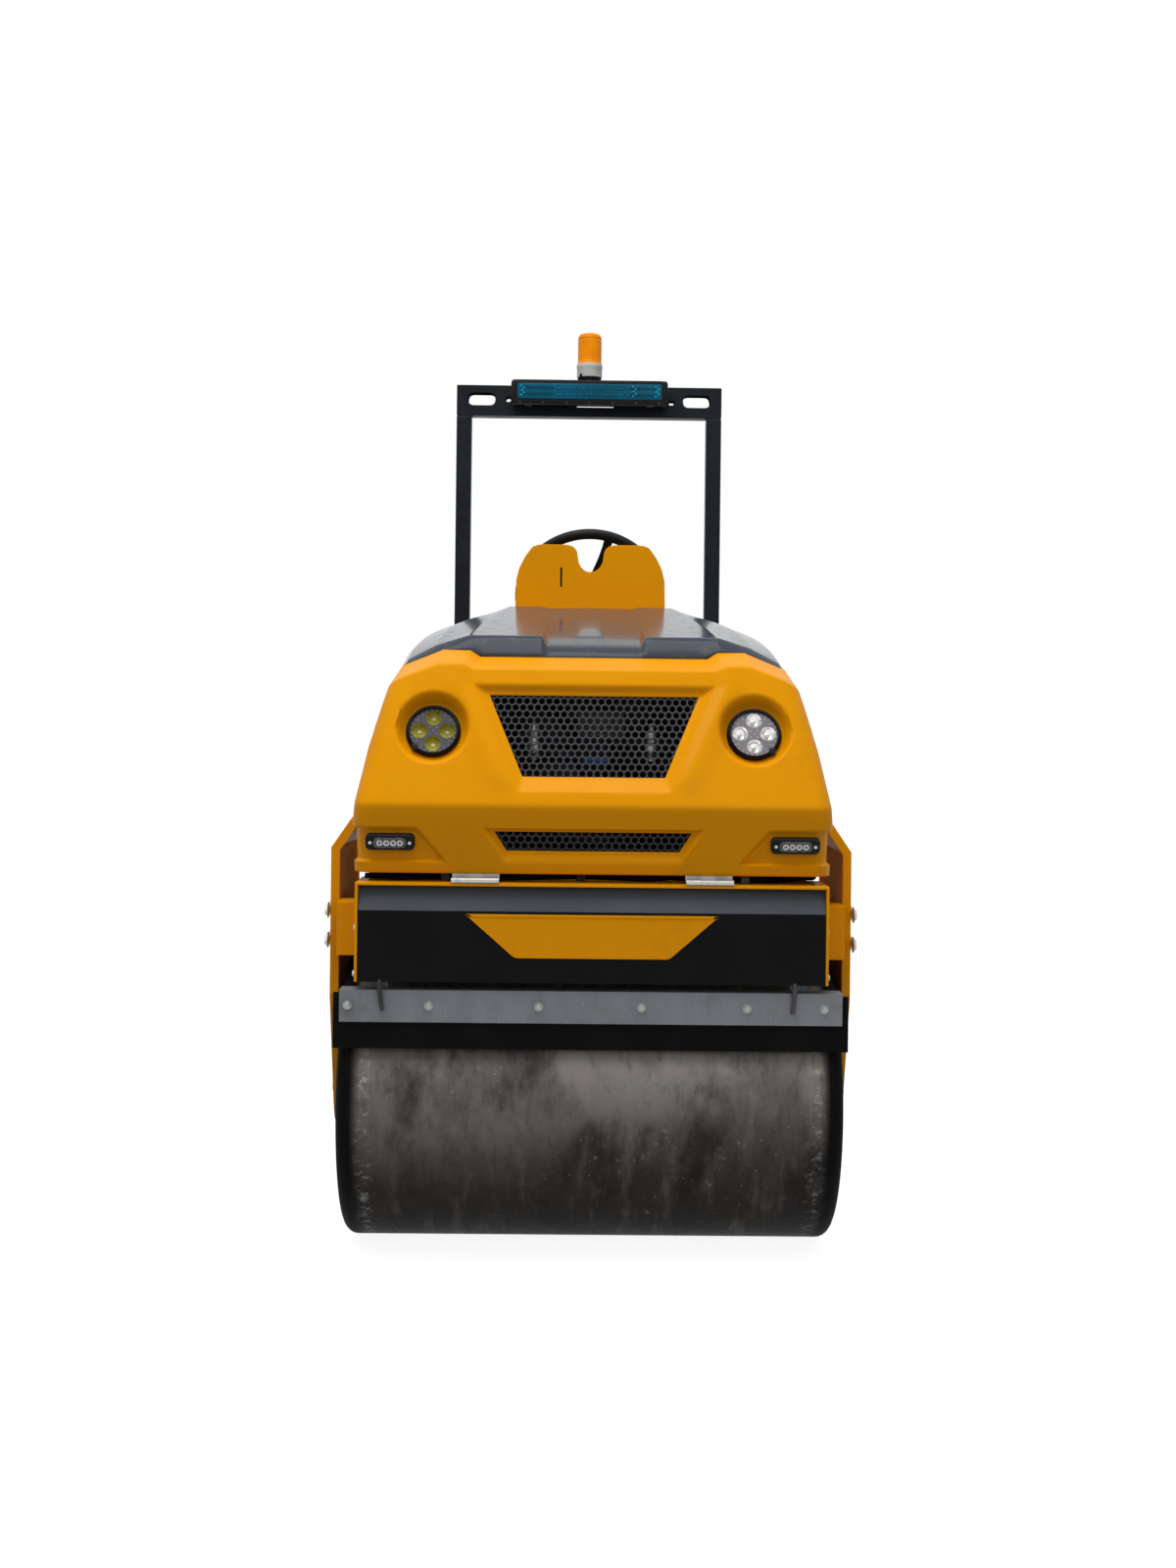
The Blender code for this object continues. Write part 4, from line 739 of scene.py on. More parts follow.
class BuildStage(bpy.types.Operator):
    """Pale floor, white surroundings, two soft lamps and the camera"""
    bl_idname = "roller.stage"
    bl_label = "Stage"

    def execute(self, context):
        scene = context.scene
        scene.view_settings.view_transform = "Standard"
        data = bpy.data.cameras.new("Camera")
        data.sensor_width, data.lens, data.sensor_fit = 36.0, 38.295, "AUTO"
        data.shift_y = -79 / 1600
        data.dof.use_dof = False
        data.clip_end = 200
        camera = bpy.data.objects.new("Camera", data)
        turns = [Matrix.Rotation(math.radians(a), 4, axis) for a, axis in ((-0.6, "Z"), (90, "X"), (0.65, "Z"))]
        camera.matrix_world = Matrix.Translation((-0.042, -3.95, 1.0)) @ turns[0] @ turns[1] @ turns[2]
        scene.collection.objects.link(camera)
        scene.camera = camera

        floor = Finish("studio_floor", Roughness=0.9, Specular_IOR_Level=0.1)
        grey = paint_settings().floor
        colour = floor.blend(floor.noise(0.8, 2.0) * 0.1, grey, scaled(grey, 0.97))
        glow = floor.blend(floor.rays("Camera", "Glossy"), (0, 0, 0), (1, 1, 1))
        floor.set(Base_Color=colour, Emission_Color=glow, Emission_Strength=0.9)
        # rings from the rim inwards, and a disc in the middle
        shape = grid([raised(circle(r, 64), -0.0005) for r in (60.0, 4.0, 0.01)], wrap_columns=True)
        shape.faces.append(list(range(128, 192)))
        shape.coats.append(0)
        ground = scene_object("floor", shape)
        ground.data.materials.append(floor.material)

        # the object sees a soft sky, brighter above; the camera, metal and glass see white
        world = bpy.data.worlds.new("surroundings")
        world.use_nodes = True
        around = Nodes(world.node_tree)
        way = around.node("ShaderNodeTexCoord", output="Generated")
        sky = around.node("ShaderNodeSeparateXYZ", output="Z", Vector=way).ramp(-0.05, 0.75, 0.14, 0.80)
        white = around.rays("Camera", "Glossy", "Transmission")
        level = around.node("ShaderNodeMapRange", Value=white, To_Min=sky, To_Max=1.0)
        back = world.node_tree.nodes["Background"]
        around.plug(back.inputs["Strength"], level)
        around.plug(back.inputs["Color"], (1, 1, 1))
        scene.world = world

        for name, place, aim, size, power in (
                ("key_light", (-0.6, -2.2, 4.8), (0, -0.4, 0.9), 3.0, 118),
                ("front_fill", (1.4, -5.2, 2.4), (0, -0.6, 0.8), 2.4, 16)):
            lamp = bpy.data.lights.new(name, "AREA")
            lamp.shape, lamp.size, lamp.energy = "DISK", size, power
            holder = bpy.data.objects.new(name, lamp)
            ahead = np.array(aim, float) - place
            ahead /= np.linalg.norm(ahead)
            side = np.cross(ahead, (0, 0, 1))
            side /= np.linalg.norm(side)
            turn = Matrix(np.stack([side, np.cross(side, ahead), -ahead], -1).tolist()).to_4x4()
            holder.matrix_world = Matrix.Translation(place) @ turn
            scene.collection.objects.link(holder)
        return {"FINISHED"}


# Kept solids

DRESSED = {
    # finish: (edge radius, nodes)
    "yellow": (0.0012, "front_frame rear_frame front_arm_left front_arm_right rear_arm_left rear_arm_right "
                       "front_tank_cover rear_tank_cover front_crossbeam rear_crossbeam rear_body platform"),
    "tank": (0.0015, "front_tank rear_tank"),
    "strip": (0.0008, "front_strip rear_strip"),
    "rubber": (0.0012, "front_flap rear_flap"),
    "tube": (0.003, "rops_post_left rops_post_right"),
    "inner": (0.002, "engine_block radiator cylinder_barrel steering_column"),
    "steel": (0.0006, "hinge_left hinge_right hood_hinge_left hood_hinge_right cylinder_rod articulation_pin"),
    "dirty_yellow": (0.0012, "console_body"),
    "black": (0.002, "travel_lever"),
}


class DressSolids(bpy.types.Operator):
    """Finishes and rounded edges on the solids that stay as they are"""
    bl_idname = "roller.solids"
    bl_label = "Kept solids"

    def execute(self, context):
        for key, (edge, names) in DRESSED.items():
            for node in names.split():
                dress(node, key, edge)
        return {"FINISHED"}


# Hood

HOOD_REAR = -0.25
BOUNDARY_Y = -0.885  # where the hood's face ends and the cover begins
FLANK_Y = -0.915  # where the lower edge steps up, beside the hinge
# where the side's columns stand behind that
SIDE_Y = np.concatenate([FLANK_Y + 0.030 * np.linspace(0, 1, 6)[1:],
                         BOUNDARY_Y + (HOOD_REAR - BOUNDARY_Y) * np.linspace(0, 1, 26)[1:]])
GRILLE_Z, VENT_Z, STROBE_Z = (0.877, 1.028), (0.739, 0.781), (0.729, 0.783)
HOOD_ROWS = (0.705, 0.724, 0.729, 0.739, 0.781, 0.787, 0.827, 0.848, 0.851, 0.877, 1.028, 1.038, 1.060)
SECTION_Z = (0.705, 0.800, 0.827, 0.925, 1.000, 1.066, 1.110)
SECTION_HALF = (0.421, 0.422, 0.419, 0.400, 0.380, 0.361, 0.346)
SECTION_CORNER = (0.036, 0.040, 0.042, 0.044, 0.044, 0.046, 0.046)
BROW_P = (0, 0.2176, 0.2387, 0.2826, 0.371, 0.423)
BROW_Z = (1.0665, 1.0665, 1.0735, 1.0745, 1.0360, 1.0200)
EDGE_P = (0, 0.2176, 0.2387, 0.2826, 0.371, 0.400, 0.423)
EDGE_X = (0, 0.2080, 0.2262, 0.2764, 0.3508, 0.3640, 0.3715)
EDGE_Z = (1.0895, 1.0895, 1.1010, 1.1020, 1.0715, 1.0480, 1.0200)
LAMP_X, LAMP_Z = 0.285, 0.962
SIDE_SLOPE = 0.0812


def reach_at(z):
    """How far the hood's face stands forward at a height: two slopes that meet in a soft crease."""
    low, high = 1.062 - 0.328 * (0.827 - z), 1.062 - 0.4059 * (z - 0.827)
    return (low + high - np.sqrt((low - high) ** 2 + 0.0035 ** 2)) / 2 + 0.001


def spans(knots, step):
    """Even steps from knot to knot, each about a step long, as knot numbers with fractions."""
    found = [np.zeros(1)]
    for k, (a, b) in enumerate(zip(knots, knots[1:])):
        count = max(1, int(round(abs(b - a) / step)))
        found.append(k + np.arange(1, count + 1) / count)
    return np.concatenate(found)


def ease(value, low, high):
    """0 below low, 1 above high, and a smooth step between them."""
    t = np.clip((value - low) / (high - low), 0, 1)
    return t * t * (3 - 2 * t)


def grille_side(z):
    """Half the grille opening's width at a height."""
    return 0.126 + (np.clip(z, 0.851, 1.038) - 0.877) * 0.4503


def vent_side(z):
    """Half the vent opening's width at a height."""
    return 0.1525 + (np.clip(z, 0.732, 0.787) - 0.739) * 0.619


def strobe_side(z):
    """How far from the middle the marker lamps' pockets begin at a height."""
    return 0.264 + (np.clip(z, 0.724, 0.787) - 0.729) * 0.852


def framed(x, z, side, low, high, widths):
    """How far outside an opening with slanted sides a point is, in bevel widths of its bottom, side and top."""
    bottom, flank, top = widths
    return np.maximum.reduce([(low - z) / bottom, (np.abs(x) - side(z)) / flank, (z - high) / top])


def hood_depth(x, z):
    """How deep each point is pressed in by lamp buckets and the openings' bevels, and by the lamp pockets."""
    lamp = np.hypot(np.abs(x) - LAMP_X, (z - LAMP_Z) * 1.04)
    depth = 0.026 * (1 - ease(lamp, 0.0495, 0.067))
    out = framed(x, z, grille_side, *GRILLE_Z, (0.026, 0.0186, 0.010))
    depth = np.maximum(depth, 0.012 * np.clip(1 - out, 0, 1))
    out = framed(x, z, vent_side, *VENT_Z, (0.012, 0.011, 0.006))
    depth = np.maximum(depth, 0.009 * np.clip(1 - out, 0, 1))
    beyond = np.abs(x) - grille_side(z)
    swell = 0.0042 * ease(beyond, 0.016, 0.042) * (1 - ease(beyond, 0.042, 0.085)) * ease(z, 0.84, 0.88)
    low, high = STROBE_Z
    pocket = np.maximum.reduce([(low - z) / 0.005, (z - high) / 0.003, (strobe_side(z) - np.abs(x)) / 0.005])
    return depth - swell * ease(lamp, 0.055, 0.075), 0.008 * np.clip(1 - pocket, 0, 1)


def hood_plan(height, share, turn, flank):
    """Where the hood's columns stand, seen from above, each point by its own height.

    They run over shares of the straight front, round the corner's quarter circle and back along the side."""
    half = np.interp(height, SECTION_Z, SECTION_HALF)
    corner = np.interp(height, SECTION_Z, SECTION_CORNER)
    reach, front = reach_at(height), half - corner
    n = share.shape[1]
    m, k = n + len(turn), n + len(turn) + len(flank)
    start = (corner - reach)[:, m:k]
    x = np.concatenate([share * front[:, :n], front[:, n:m] + corner[:, n:m] * np.sin(turn), half[:, m:]], 1)
    y = np.concatenate([-reach[:, :n], (corner - reach)[:, n:m] - corner[:, n:m] * np.cos(turn),
                        start + (FLANK_Y - start) * flank, SIDE_Y + 0 * half[:, k:]], 1)
    return x, y


def hood_shape():
    """The hood's face and sides: columns run round the plan from rear left to rear right, rows up the profile.

    A row is a height, then a soft turn over the brow, then the ledge back to the cover's edge."""
    cell = sizes().hood_cell
    z = np.interp(spans(HOOD_ROWS, cell), np.arange(len(HOOD_ROWS)), HOOD_ROWS)[:, None]
    # knots of the front half: the middle, an opening's side, its bevel, a pocket's side, the corner
    front = np.interp(z, SECTION_Z, SECTION_HALF) - np.interp(z, SECTION_Z, SECTION_CORNER)
    mix = ease(z, 0.79, 0.85)
    opening = vent_side(z) + (grille_side(z) - vent_side(z)) * mix
    outer = np.where(z > 0.787, 0.3134 - 0.0184 * ease(z, 0.787, 0.87), strobe_side(z))
    knots = np.concatenate([0 * z, opening, opening + 0.011 + 0.0076 * mix, outer, front], 1)
    columns = spans((0, 0.16, 0.176, 0.29, 0.377), cell)
    lowest = np.minimum(columns.astype(int), 3)
    part = columns - lowest
    share = (knots[:, lowest] * (1 - part) + knots[:, lowest + 1] * part) / front
    turn, flank = np.linspace(0, np.pi / 2, 14)[1:], np.linspace(0, 1, 11)[1:]
    n, m = len(columns), len(columns) + len(turn)
    count = m + len(flank) + len(SIDE_Y)
    x, y = hood_plan(z + np.zeros(count), share, turn, flank)
    # the arc length along the brow says how high each column reaches
    p = np.concatenate([[0], np.cumsum(np.hypot(np.diff(x[-1]), np.diff(y[-1])))])
    brow = np.where(y[-1] < BOUNDARY_Y - SMALL, np.interp(p, BROW_P, BROW_Z),
                    1.020 + (y[-1] - BOUNDARY_Y) * SIDE_SLOPE)
    height = np.where(z <= 0.90, z, 0.90 + (z - 0.90) * (brow - 0.0035 - 0.90) / 0.160)
    x, y = hood_plan(height, share, turn, flank)
    back = np.concatenate([np.zeros(m), flank, np.full(len(SIDE_Y), 2.0)])
    deep, pocket = hood_depth(x, height)
    deep = deep * (np.arange(count) < n)
    pocket = pocket * (1 - ease(back, 0.1, 0.5))
    nx = np.concatenate([np.zeros(n), np.sin(turn), np.ones(count - m)])
    ny = np.concatenate([-np.ones(n), -np.cos(turn), np.zeros(count - m)])
    lean = np.where(height > 0.827, 0.376, -0.31) * (deep != 0)
    x = x - nx * pocket
    y = y - ny * pocket + deep * 0.935
    height = height - lean * deep
    face = np.stack([x, y, height], -1)
    # brow point, cover edge, and the rounded turn between them
    last, before = face[-1], face[-4]
    rise = (last - before) / np.maximum(np.linalg.norm(last - before, axis=1)[:, None], SMALL)
    brow_point = last + rise * 0.0035
    edge = np.stack([np.interp(p, EDGE_P, EDGE_X), np.full(len(p), BOUNDARY_Y),
                     np.interp(p, EDGE_P, EDGE_Z)], -1)
    side = y[-1] > BOUNDARY_Y - 1e-6
    edge[side] = brow_point[side]
    away = edge - brow_point
    length = np.maximum(np.linalg.norm(away, axis=1)[:, None], SMALL)
    second = brow_point + away * np.minimum(0.0045 / length, 1)
    t = np.linspace(0, 1, 6)[1:, None, None]
    bend = (1 - t) ** 2 * last + 2 * t * (1 - t) * brow_point + t ** 2 * second
    t = np.linspace(0, 1, 15)[1:, None, None]
    ledge = second + (edge - second) * t
    slot = ease(t, 0.30, 0.38) * (1 - ease(t, 0.70, 0.78))
    slot = slot * (1 - ease(np.abs(ledge[..., :1] - 0.01), 0.082, 0.090))
    ledge = ledge - np.array([0, 0, 0.0025]) * slot
    half_face = np.concatenate([face, bend, ledge])
    left = half_face[:, :0:-1] * np.array([-1, 1, 1])
    points = np.concatenate([left, half_face], 1)
    made = grid(points)
    middle = made.points[np.array(made.faces)].mean(1)
    mx, my, mz = middle.T
    lamp = np.hypot(np.abs(mx) - LAMP_X, (mz - LAMP_Z + 0.0098) * 1.04)
    gone = (my > FLANK_Y) & (mz < 0.848)
    gone |= (lamp < 0.043) & (my < -0.9)
    gone |= (framed(mx, mz + 0.0045, grille_side, *GRILLE_Z, (1, 1, 1)) < -0.0035) & (my < -0.93)
    gone |= (framed(mx, mz - 0.0028, vent_side, *VENT_Z, (1, 1, 1)) < -0.003) & (my < -0.99)
    made.faces = [f for f, g in zip(made.faces, gone) if not g]
    made.coats = [0] * len(made.faces)
    return made


STATIONS = (-0.858, -0.600, -0.300)
# the cover's creases at each station, from the middle outwards
STATION_X = ((0, 0.231, 0.290, 0.342, 0.358, 0.366, 0.372),
             (0, 0.215, 0.2805, 0.3356, 0.361, 0.366, 0.370),
             (0, 0.186, 0.225, 0.302, 0.352, 0.362, 0.366))
STATION_Z = ((1.130, 1.130, 1.112, 1.086, 1.060, 1.040, 1.022),
             (1.169, 1.168, 1.157, 1.134, 1.110, 1.080, 1.043),
             (1.215, 1.2125, 1.1996, 1.172, 1.145, 1.110, 1.0675))


def cover_at(y, u):
    """The cover's x and z at a place along it and across it: three cross sections joined by a parabola."""
    a, b, c = STATIONS
    weights = ((y - b) * (y - c) / ((a - b) * (a - c)), (y - a) * (y - c) / ((b - a) * (b - c)),
               (y - a) * (y - b) / ((c - a) * (c - b)))
    knots = np.arange(7)
    x = sum(w * np.interp(u, knots, s) for w, s in zip(weights, STATION_X))
    z = sum(w * np.interp(u, knots, s) for w, s in zip(weights, STATION_Z))
    return x, z


def cover_shape():
    """The cover: rows run back from the ledge, columns across it, with a pressed channel in the middle."""
    inner = np.array([0, 0.12, 0.24, 0.34, 0.352, 0.364, 0.376, 0.388, 0.400, 0.412, 0.424, 0.436, 0.448, 0.460,
                      0.48, 0.52, 0.60, 0.70, 0.80, 0.88, 0.93, 0.96, 0.985])
    outer = np.concatenate([k + np.array([0.0, 0.02, 0.06, 0.15, 0.3, 0.5, 0.7, 0.85, 0.94, 0.98])
                            for k in range(1, 6)] + [[6.0]])
    u = np.concatenate([inner, outer])
    soft = np.abs(u[:, None] - u[None]) < 0.06
    y = np.concatenate([np.linspace(-0.858, -0.845, 4), np.linspace(-0.83, HOOD_REAR, 44)])[:, None]
    x, z = cover_at(y, u)
    # a little rounding over the creases between facets
    weight = (soft * np.exp(-(np.abs(u[:, None] - u[None]) / 0.03) ** 2))
    weight /= weight.sum(1)[:, None]
    x, z = x @ weight.T, z @ weight.T
    x[:, 0] = 0
    back = (y + 0.858) / 0.608
    floor_half, wall_half = 0.084 + 0.013 * back, 0.097 + 0.013 * back
    z = z - (0.018 - 0.014 * (1 - np.exp(-(y + 0.858) / 0.16))) * (1 - ease(x, floor_half, wall_half))
    rows = np.stack([x, np.broadcast_to(y, x.shape), z], -1)
    f = np.linspace(0, 1, 9)[:-1, None]
    edge_z = np.interp(x[0], EDGE_X, EDGE_Z)
    g = 1 - (1 - f) ** 1.6
    lip = np.stack([x[0] + 0 * f, -0.885 + 0.027 * f + 0 * x[0], edge_z + (z[0] - edge_z) * g], -1)
    half = np.concatenate([lip, rows])
    left = half[:, :0:-1] * np.array([-1, 1, 1])
    return grid(np.concatenate([left, half], 1))


def hood_back():
    """The hood's rear panel, in X and Z: up one side, over the cover's section and down the other."""
    z = np.linspace(0.848, 1.066, 8)
    side = np.stack([np.interp(z, SECTION_Z, SECTION_HALF) - 0.004, z], -1)
    u = np.linspace(6, 0, 30)
    x, top = cover_at(HOOD_REAR, u)
    top = top - 0.004 - 0.017 * (1 - ease(x, 0.097, 0.110))
    half = np.vstack([side, np.stack([np.minimum(x, 0.36), top], -1)])
    return np.vstack([half, half[::-1] * (-1, 1)])


class BuildHood(bpy.types.Operator):
    """Hood face with its buckets, pockets and openings, gloss cover and rear panel"""
    bl_idname = "roller.hood"
    bl_label = "Hood"

    def execute(self, context):
        piece("hood_face", hood_shape(), "yellow", "hood", ("hood_shell",), 50, wall=0.004)
        piece("hood_gloss_cover", cover_shape(), "slate", "hood", ("hood_cover",), 40,
              wall=0.004)
        back = slab(hood_back(), 0, 0.004, 0.001).facing("-y", (0, HOOD_REAR - 0.0005, 0))
        piece("hood_rear_panel", back, "yellow", "hood")
        return {"FINISHED"}


# Grille and vent

def honeycomb(centres, pitch, hole, limit):
    """Flat cells: each a hexagon with a hole of twelve sides; limit moves points back inside the opening."""
    angle = np.pi / 6 * np.arange(12)
    far = pitch / 2 / np.cos(((angle + np.pi / 6) % (np.pi / 3)) - np.pi / 6)
    ring = np.stack([np.cos(angle), np.sin(angle)], -1)
    outer, inner = ring * far[:, None], ring * hole / 2
    cells = np.stack([centres[:, None] + inner, centres[:, None] + outer], 1)
    cells = limit(cells)
    count = len(centres)
    base = (np.arange(count) * 24)[:, None]
    k = np.arange(12)
    quads = np.stack([base + k, base + 12 + k, base + 12 + (k + 1) % 12, base + (k + 1) % 12], -1)
    return cells.reshape(-1, 2), quads.reshape(-1, 4)


def mesh_sheet(side, low, high, pitch, depth):
    """A perforated sheet behind an opening with slanted sides, laid on the hood's face and set back from it."""
    row = pitch * math.sqrt(3) / 2
    rows = np.arange(int((high - low) / row) + 3)
    columns = np.arange(-30, 31)
    z = (low - row * 0.6 + rows * row)[:, None] + 0 * columns
    x = columns * pitch + np.where(rows % 2, pitch / 2, 0)[:, None]
    centres = np.stack([x, z], -1).reshape(-1, 2)
    inside = (np.abs(centres[:, 0]) < side(centres[:, 1]) + pitch * 0.45) & (centres[:, 1] < high + row * 0.6)
    centres = centres[inside]

    def limit(cells):
        z = np.clip(cells[..., 1], low - 0.003, high + 0.003)
        far = side(z) + 0.003
        return np.stack([np.clip(cells[..., 0], -far, far), z], -1)

    flat, quads = honeycomb(centres, pitch, pitch * 0.80, limit)
    points = np.stack([flat[:, 0], -reach_at(flat[:, 1]) + depth, flat[:, 1]], -1)
    made = Shape(points, quads)
    a, b, c = (made.points[np.array(made.faces)[:, i]] for i in range(3))
    towards = np.cross(b - a, c - a)[:, 1]
    made.faces = [f if t < 0 else f[::-1] for f, t in zip(made.faces, towards)]
    return made


class BuildGrille(bpy.types.Operator):
    """Honeycomb sheets of the grille and the vent, with the fan and its fittings behind them"""
    bl_idname = "roller.grille"
    bl_label = "Grille"

    def execute(self, context):
        for name, side, low, high, depth, node in (
                ("grille_honeycomb", grille_side, *GRILLE_Z, 0.0150, "grille_mesh"),
                ("vent_honeycomb", vent_side, *VENT_Z, 0.0120, "vent_mesh")):
            sheet = mesh_sheet(side, low, high, sizes().mesh_pitch, depth)
            piece(name, sheet, "mesh", "hood", (node,), 30, wall=0.0016)
        fan = lathe([(0.150, 0), (0.156, 0.002), (0.158, 0.02), (0.150, 0.022), (0.146, 0.011), (0.150, 0)], 64)
        t, s = np.linspace(0, 1, 9)[:, None], np.linspace(-1, 1, 7)
        radius = 0.035 + 0.105 * t
        lift = 0.009 * s * (1 - 0.3 * t) + 0.010
        for k in range(7):
            angle = 2 * np.pi * k / 7 + s * (0.42 - 0.16 * t)
            blade = np.stack([radius * np.cos(angle), radius * np.sin(angle), lift + 0 * radius], -1)
            fan += grid(blade) + grid(blade[:, ::-1] - np.array([0, 0, 0.002]))
        fan += lathe([(0, 0.024), (0.030, 0.023), (0.037, 0.018), (0.038, 0.0), (0, 0)], 40)
        piece("engine_fan", fan.facing("-y", (0.0, -0.885, 0.905)), "black", "front_frame")
        rail = slab(box_outline(0.40, 0.016, 0.004), 0, 0.006, 0.001).facing("-y", (0, -0.902, 0.935))
        fitting = lathe([(0.0, -0.034), (0.008, -0.034), (0.008, -0.016), (0.014, -0.015), (0.014, -0.002),
                         (0.010, 0.0), (0.010, 0.012), (0.012, 0.013), (0.012, 0.020), (0.006, 0.021),
                         (0.006, 0.034), (0.0, 0.035)], 24, 1)
        collar = lathe([(0.009, -0.004), (0.0155, -0.003), (0.0155, 0.003), (0.009, 0.004)], 20, 2)
        for x in (-0.1087, 0.1064):
            rail += fitting.moved(x, -0.905, 0.9355) + collar.moved(x, -0.905, 0.912)
        core = slab(box_outline(0.086, 0.052, 0.006, (0.014, 0.968)), 0, 0.010, 0.002, 2)
        for k in range(6):
            line = box_outline(0.080, 0.0035, 0.001, (0.014, 0.948 + k * 0.008))
            core += slab(line, 0.009, 0.0125, 0.0008, 2)
        strap = slab(box_outline(0.050, 0.012, 0.004, (0.006, 0.902)), 0, 0.010, 0.003, 3)
        rail += (core + strap).facing("-y", (0, -0.900, 0))
        piece("fan_guard_rail", rail, ("black", "steel", "cast", "blue"), "front_frame")
        return {"FINISHED"}


# Headlamps and strobes

def lamp_frame(x, z, depth):
    """Where a lamp's front plane sits, its across direction and its up direction on the sloping face."""
    return (x, -float(reach_at(z)) + depth * 0.927, z - depth * 0.376), (1, 0, 0), (0, 0.376, 0.927)


class BuildHeadlamps(bpy.types.Operator):
    """Two round headlamps: bezel, a plate whose raised dots carry painted glints, and four reflector cups with
    their chips
    """
    bl_idname = "roller.headlamps"
    bl_label = "Headlamps"

    def execute(self, context):
        # the bezel: the lamp body's own black, its outer wall also painted shade for the shadow gap round the
        # sunken lamp
        bezel = lathe([(0.040, -0.030), (0.0478, -0.030), (0.0490, -0.006), (0.0484, -0.0035),
                       (0.0460, -0.0015), (0.0436, 0.0012), (0.0424, 0.0010), (0.0415, -0.004),
                       (0.0400, -0.030)], 64)
        cups = circle(0.0245, 4)
        disc = plate(circle(0.0418, 56), [circle(0.0148, 28, cup) for cup in cups], -0.0075, -0.0040, 0.0005, 1)
        bowl = lathe([(0.0150, -0.0040), (0.0146, -0.0042), (0.0128, -0.0085), (0.0090, -0.0125),
                      (0.0045, -0.0145), (0.0, -0.0148)], 28, 2)
        diode = lathe([(0.0, -0.0120), (0.0030, -0.0122), (0.0042, -0.0150), (0, -0.0152)], 14, 3)
        lamp = bezel + disc + sum((bowl + diode).moved(x, y) for x, y in cups)
        # raised dots painted pale: painted glints on the plate
        dot = lathe([(0.0, 0.0010), (0.0010, 0.0007), (0.0016, 0)], 8, 4)
        for count, r in ((28, 0.0398), (16, 0.0345), (8, 0.0285), (4, 0.0085), (1, 0.0)):
            for a in 2 * np.pi * (np.arange(count) + 0.5) / count:
                # no dots on the cups
                if count == 28 or r < 0.02 or abs((2 * a / np.pi + 0.5) % 1 - 0.5) >= 0.24:
                    lamp += dot.moved(r * math.cos(a), r * math.sin(a), -0.0040)
        back = lathe([(0.0, -0.045), (0.026, -0.044), (0.034, -0.030), (0.040, -0.0302)], 40)
        # both lamps are the same: the left lamp's olive satin cups are a painted reflection of chrome
        # reflectors, and the right lamp's paler plate is a painted reflection
        for name, sign, coats in (("left", -1, ("lamp_plate", "gold_cup", "gold_chip", "lamp_dot")),
                                  ("right", 1, ("lamp_plate_pale", "chrome", "pale", "pale"))):
            plug = slab(box_outline(0.010, 0.012, 0.002, (0.036 * sign * 0.86, -0.033)), -0.006, 0.0012, 0.0008)
            made = (lamp + plug + back).placed(*lamp_frame(sign * LAMP_X, LAMP_Z, 0.0165))
            piece(f"headlamp_{name}_unit", made, ("smoke", *coats), "hood", (f"headlamp_{name}",))
        return {"FINISHED"}


class BuildStrobes(bpy.types.Operator):
    """Two slim marker lamps: black bezel with end screws and a clear capsule over four chips"""
    bl_idname = "roller.strobes"
    bl_label = "Marker lamps"

    def execute(self, context):
        lamp = slab(box_outline(0.086, 0.029, 0.010, steps=7), -0.006, 0.0085, 0.003, 0, 4)
        lamp += slab(box_outline(0.058, 0.0195, 0.0092, steps=7), 0.006, 0.0102, 0.0018, 1, 3)
        ring = lathe([(0.0026, 0.0100), (0.0040, 0.0108), (0.0050, 0.0106), (0.0054, 0.0098)], 20, 2)
        chip = lathe([(0.0, 0.0112), (0.0016, 0.0108), (0.0024, 0.0098)], 12, 1)
        for k in range(4):
            lamp += (ring + chip).moved((k - 1.5) * 0.0118)
        for x in (-0.0345, 0.0345):
            lamp += bolt(0.0028, 0.0012, False, 2).moved(x, 0, 0.0083)
        y = -float(reach_at(0.762)) + 0.0062
        for name, sign in (("left", -1), ("right", 1)):
            made = lamp.placed((sign * 0.354, y, 0.7615), (1, 0, 0), (0, -0.31, 0.95))
            piece(f"strobe_{name}_unit", made, ("black", "clear", "steel"), "hood",
                  (f"strobe_{name}",))
        return {"FINISHED"}


# Drums

class BuildDrums(bpy.types.Operator):
    """Front and rear drum: rolled shell with rounded edge bands, dished ends, hub and its bolts"""
    bl_idname = "roller.drums"
    bl_label = "Drums"

    def execute(self, context):
        turn = np.linspace(0, np.pi / 2, 7)
        edge = [(0.258 + 0.022 * math.sin(a), 0.426 + 0.022 * math.cos(a)) for a in turn]
        end = [(0.0, 0.430), (0.022, 0.430), (0.030, 0.427), (0.030, 0.392), (0.062, 0.390), (0.065, 0.386),
               (0.066, 0.376), (0.072, 0.373), (0.180, 0.373), (0.196, 0.377), (0.205, 0.390), (0.205, 0.443),
               (0.208, 0.447), (0.214, 0.448)]
        side = end + edge + [(DRUM_RADIUS, 0.30), (DRUM_RADIUS, 0.15)]
        profile = side + [(DRUM_RADIUS, 0.0)] + [(r, -h) for r, h in side[::-1]]
        inside = sum(bolt(0.0075, 0.0055, coat=1).moved(x, y, 0.390) for x, y in circle(0.050, 8))
        rib = slab(box_outline(0.105, 0.010, 0.001, (0.125, 0)), 0.372, 0.380, 0.001)
        for c, s in circle(1.0, 5, start=0.3):
            inside += rib.mapped(lambda p, q, r: (p * c - q * s, p * s + q * c, r))
        shape = lathe(profile[::-1], 128) + inside.mapped(lambda p, q, r: (p, -q, -r)) + inside
        for name, y in (("front_drum", -DRUM_Y), ("rear_drum", DRUM_Y)):
            made = shape.mapped(lambda p, q, r: (r, q + y, p + DRUM_RADIUS))
            piece(f"{name}_shell", made, (name, "steel"), name, (name,), 35)
        return {"FINISHED"}


# Front and rear frames

ARM_FACE = 0.4762  # the arms' outer faces, on which bolt heads stand
STRIP_SCREWS = (-0.4266, -0.2842, -0.0921, 0.0881, 0.2734, 0.4089)
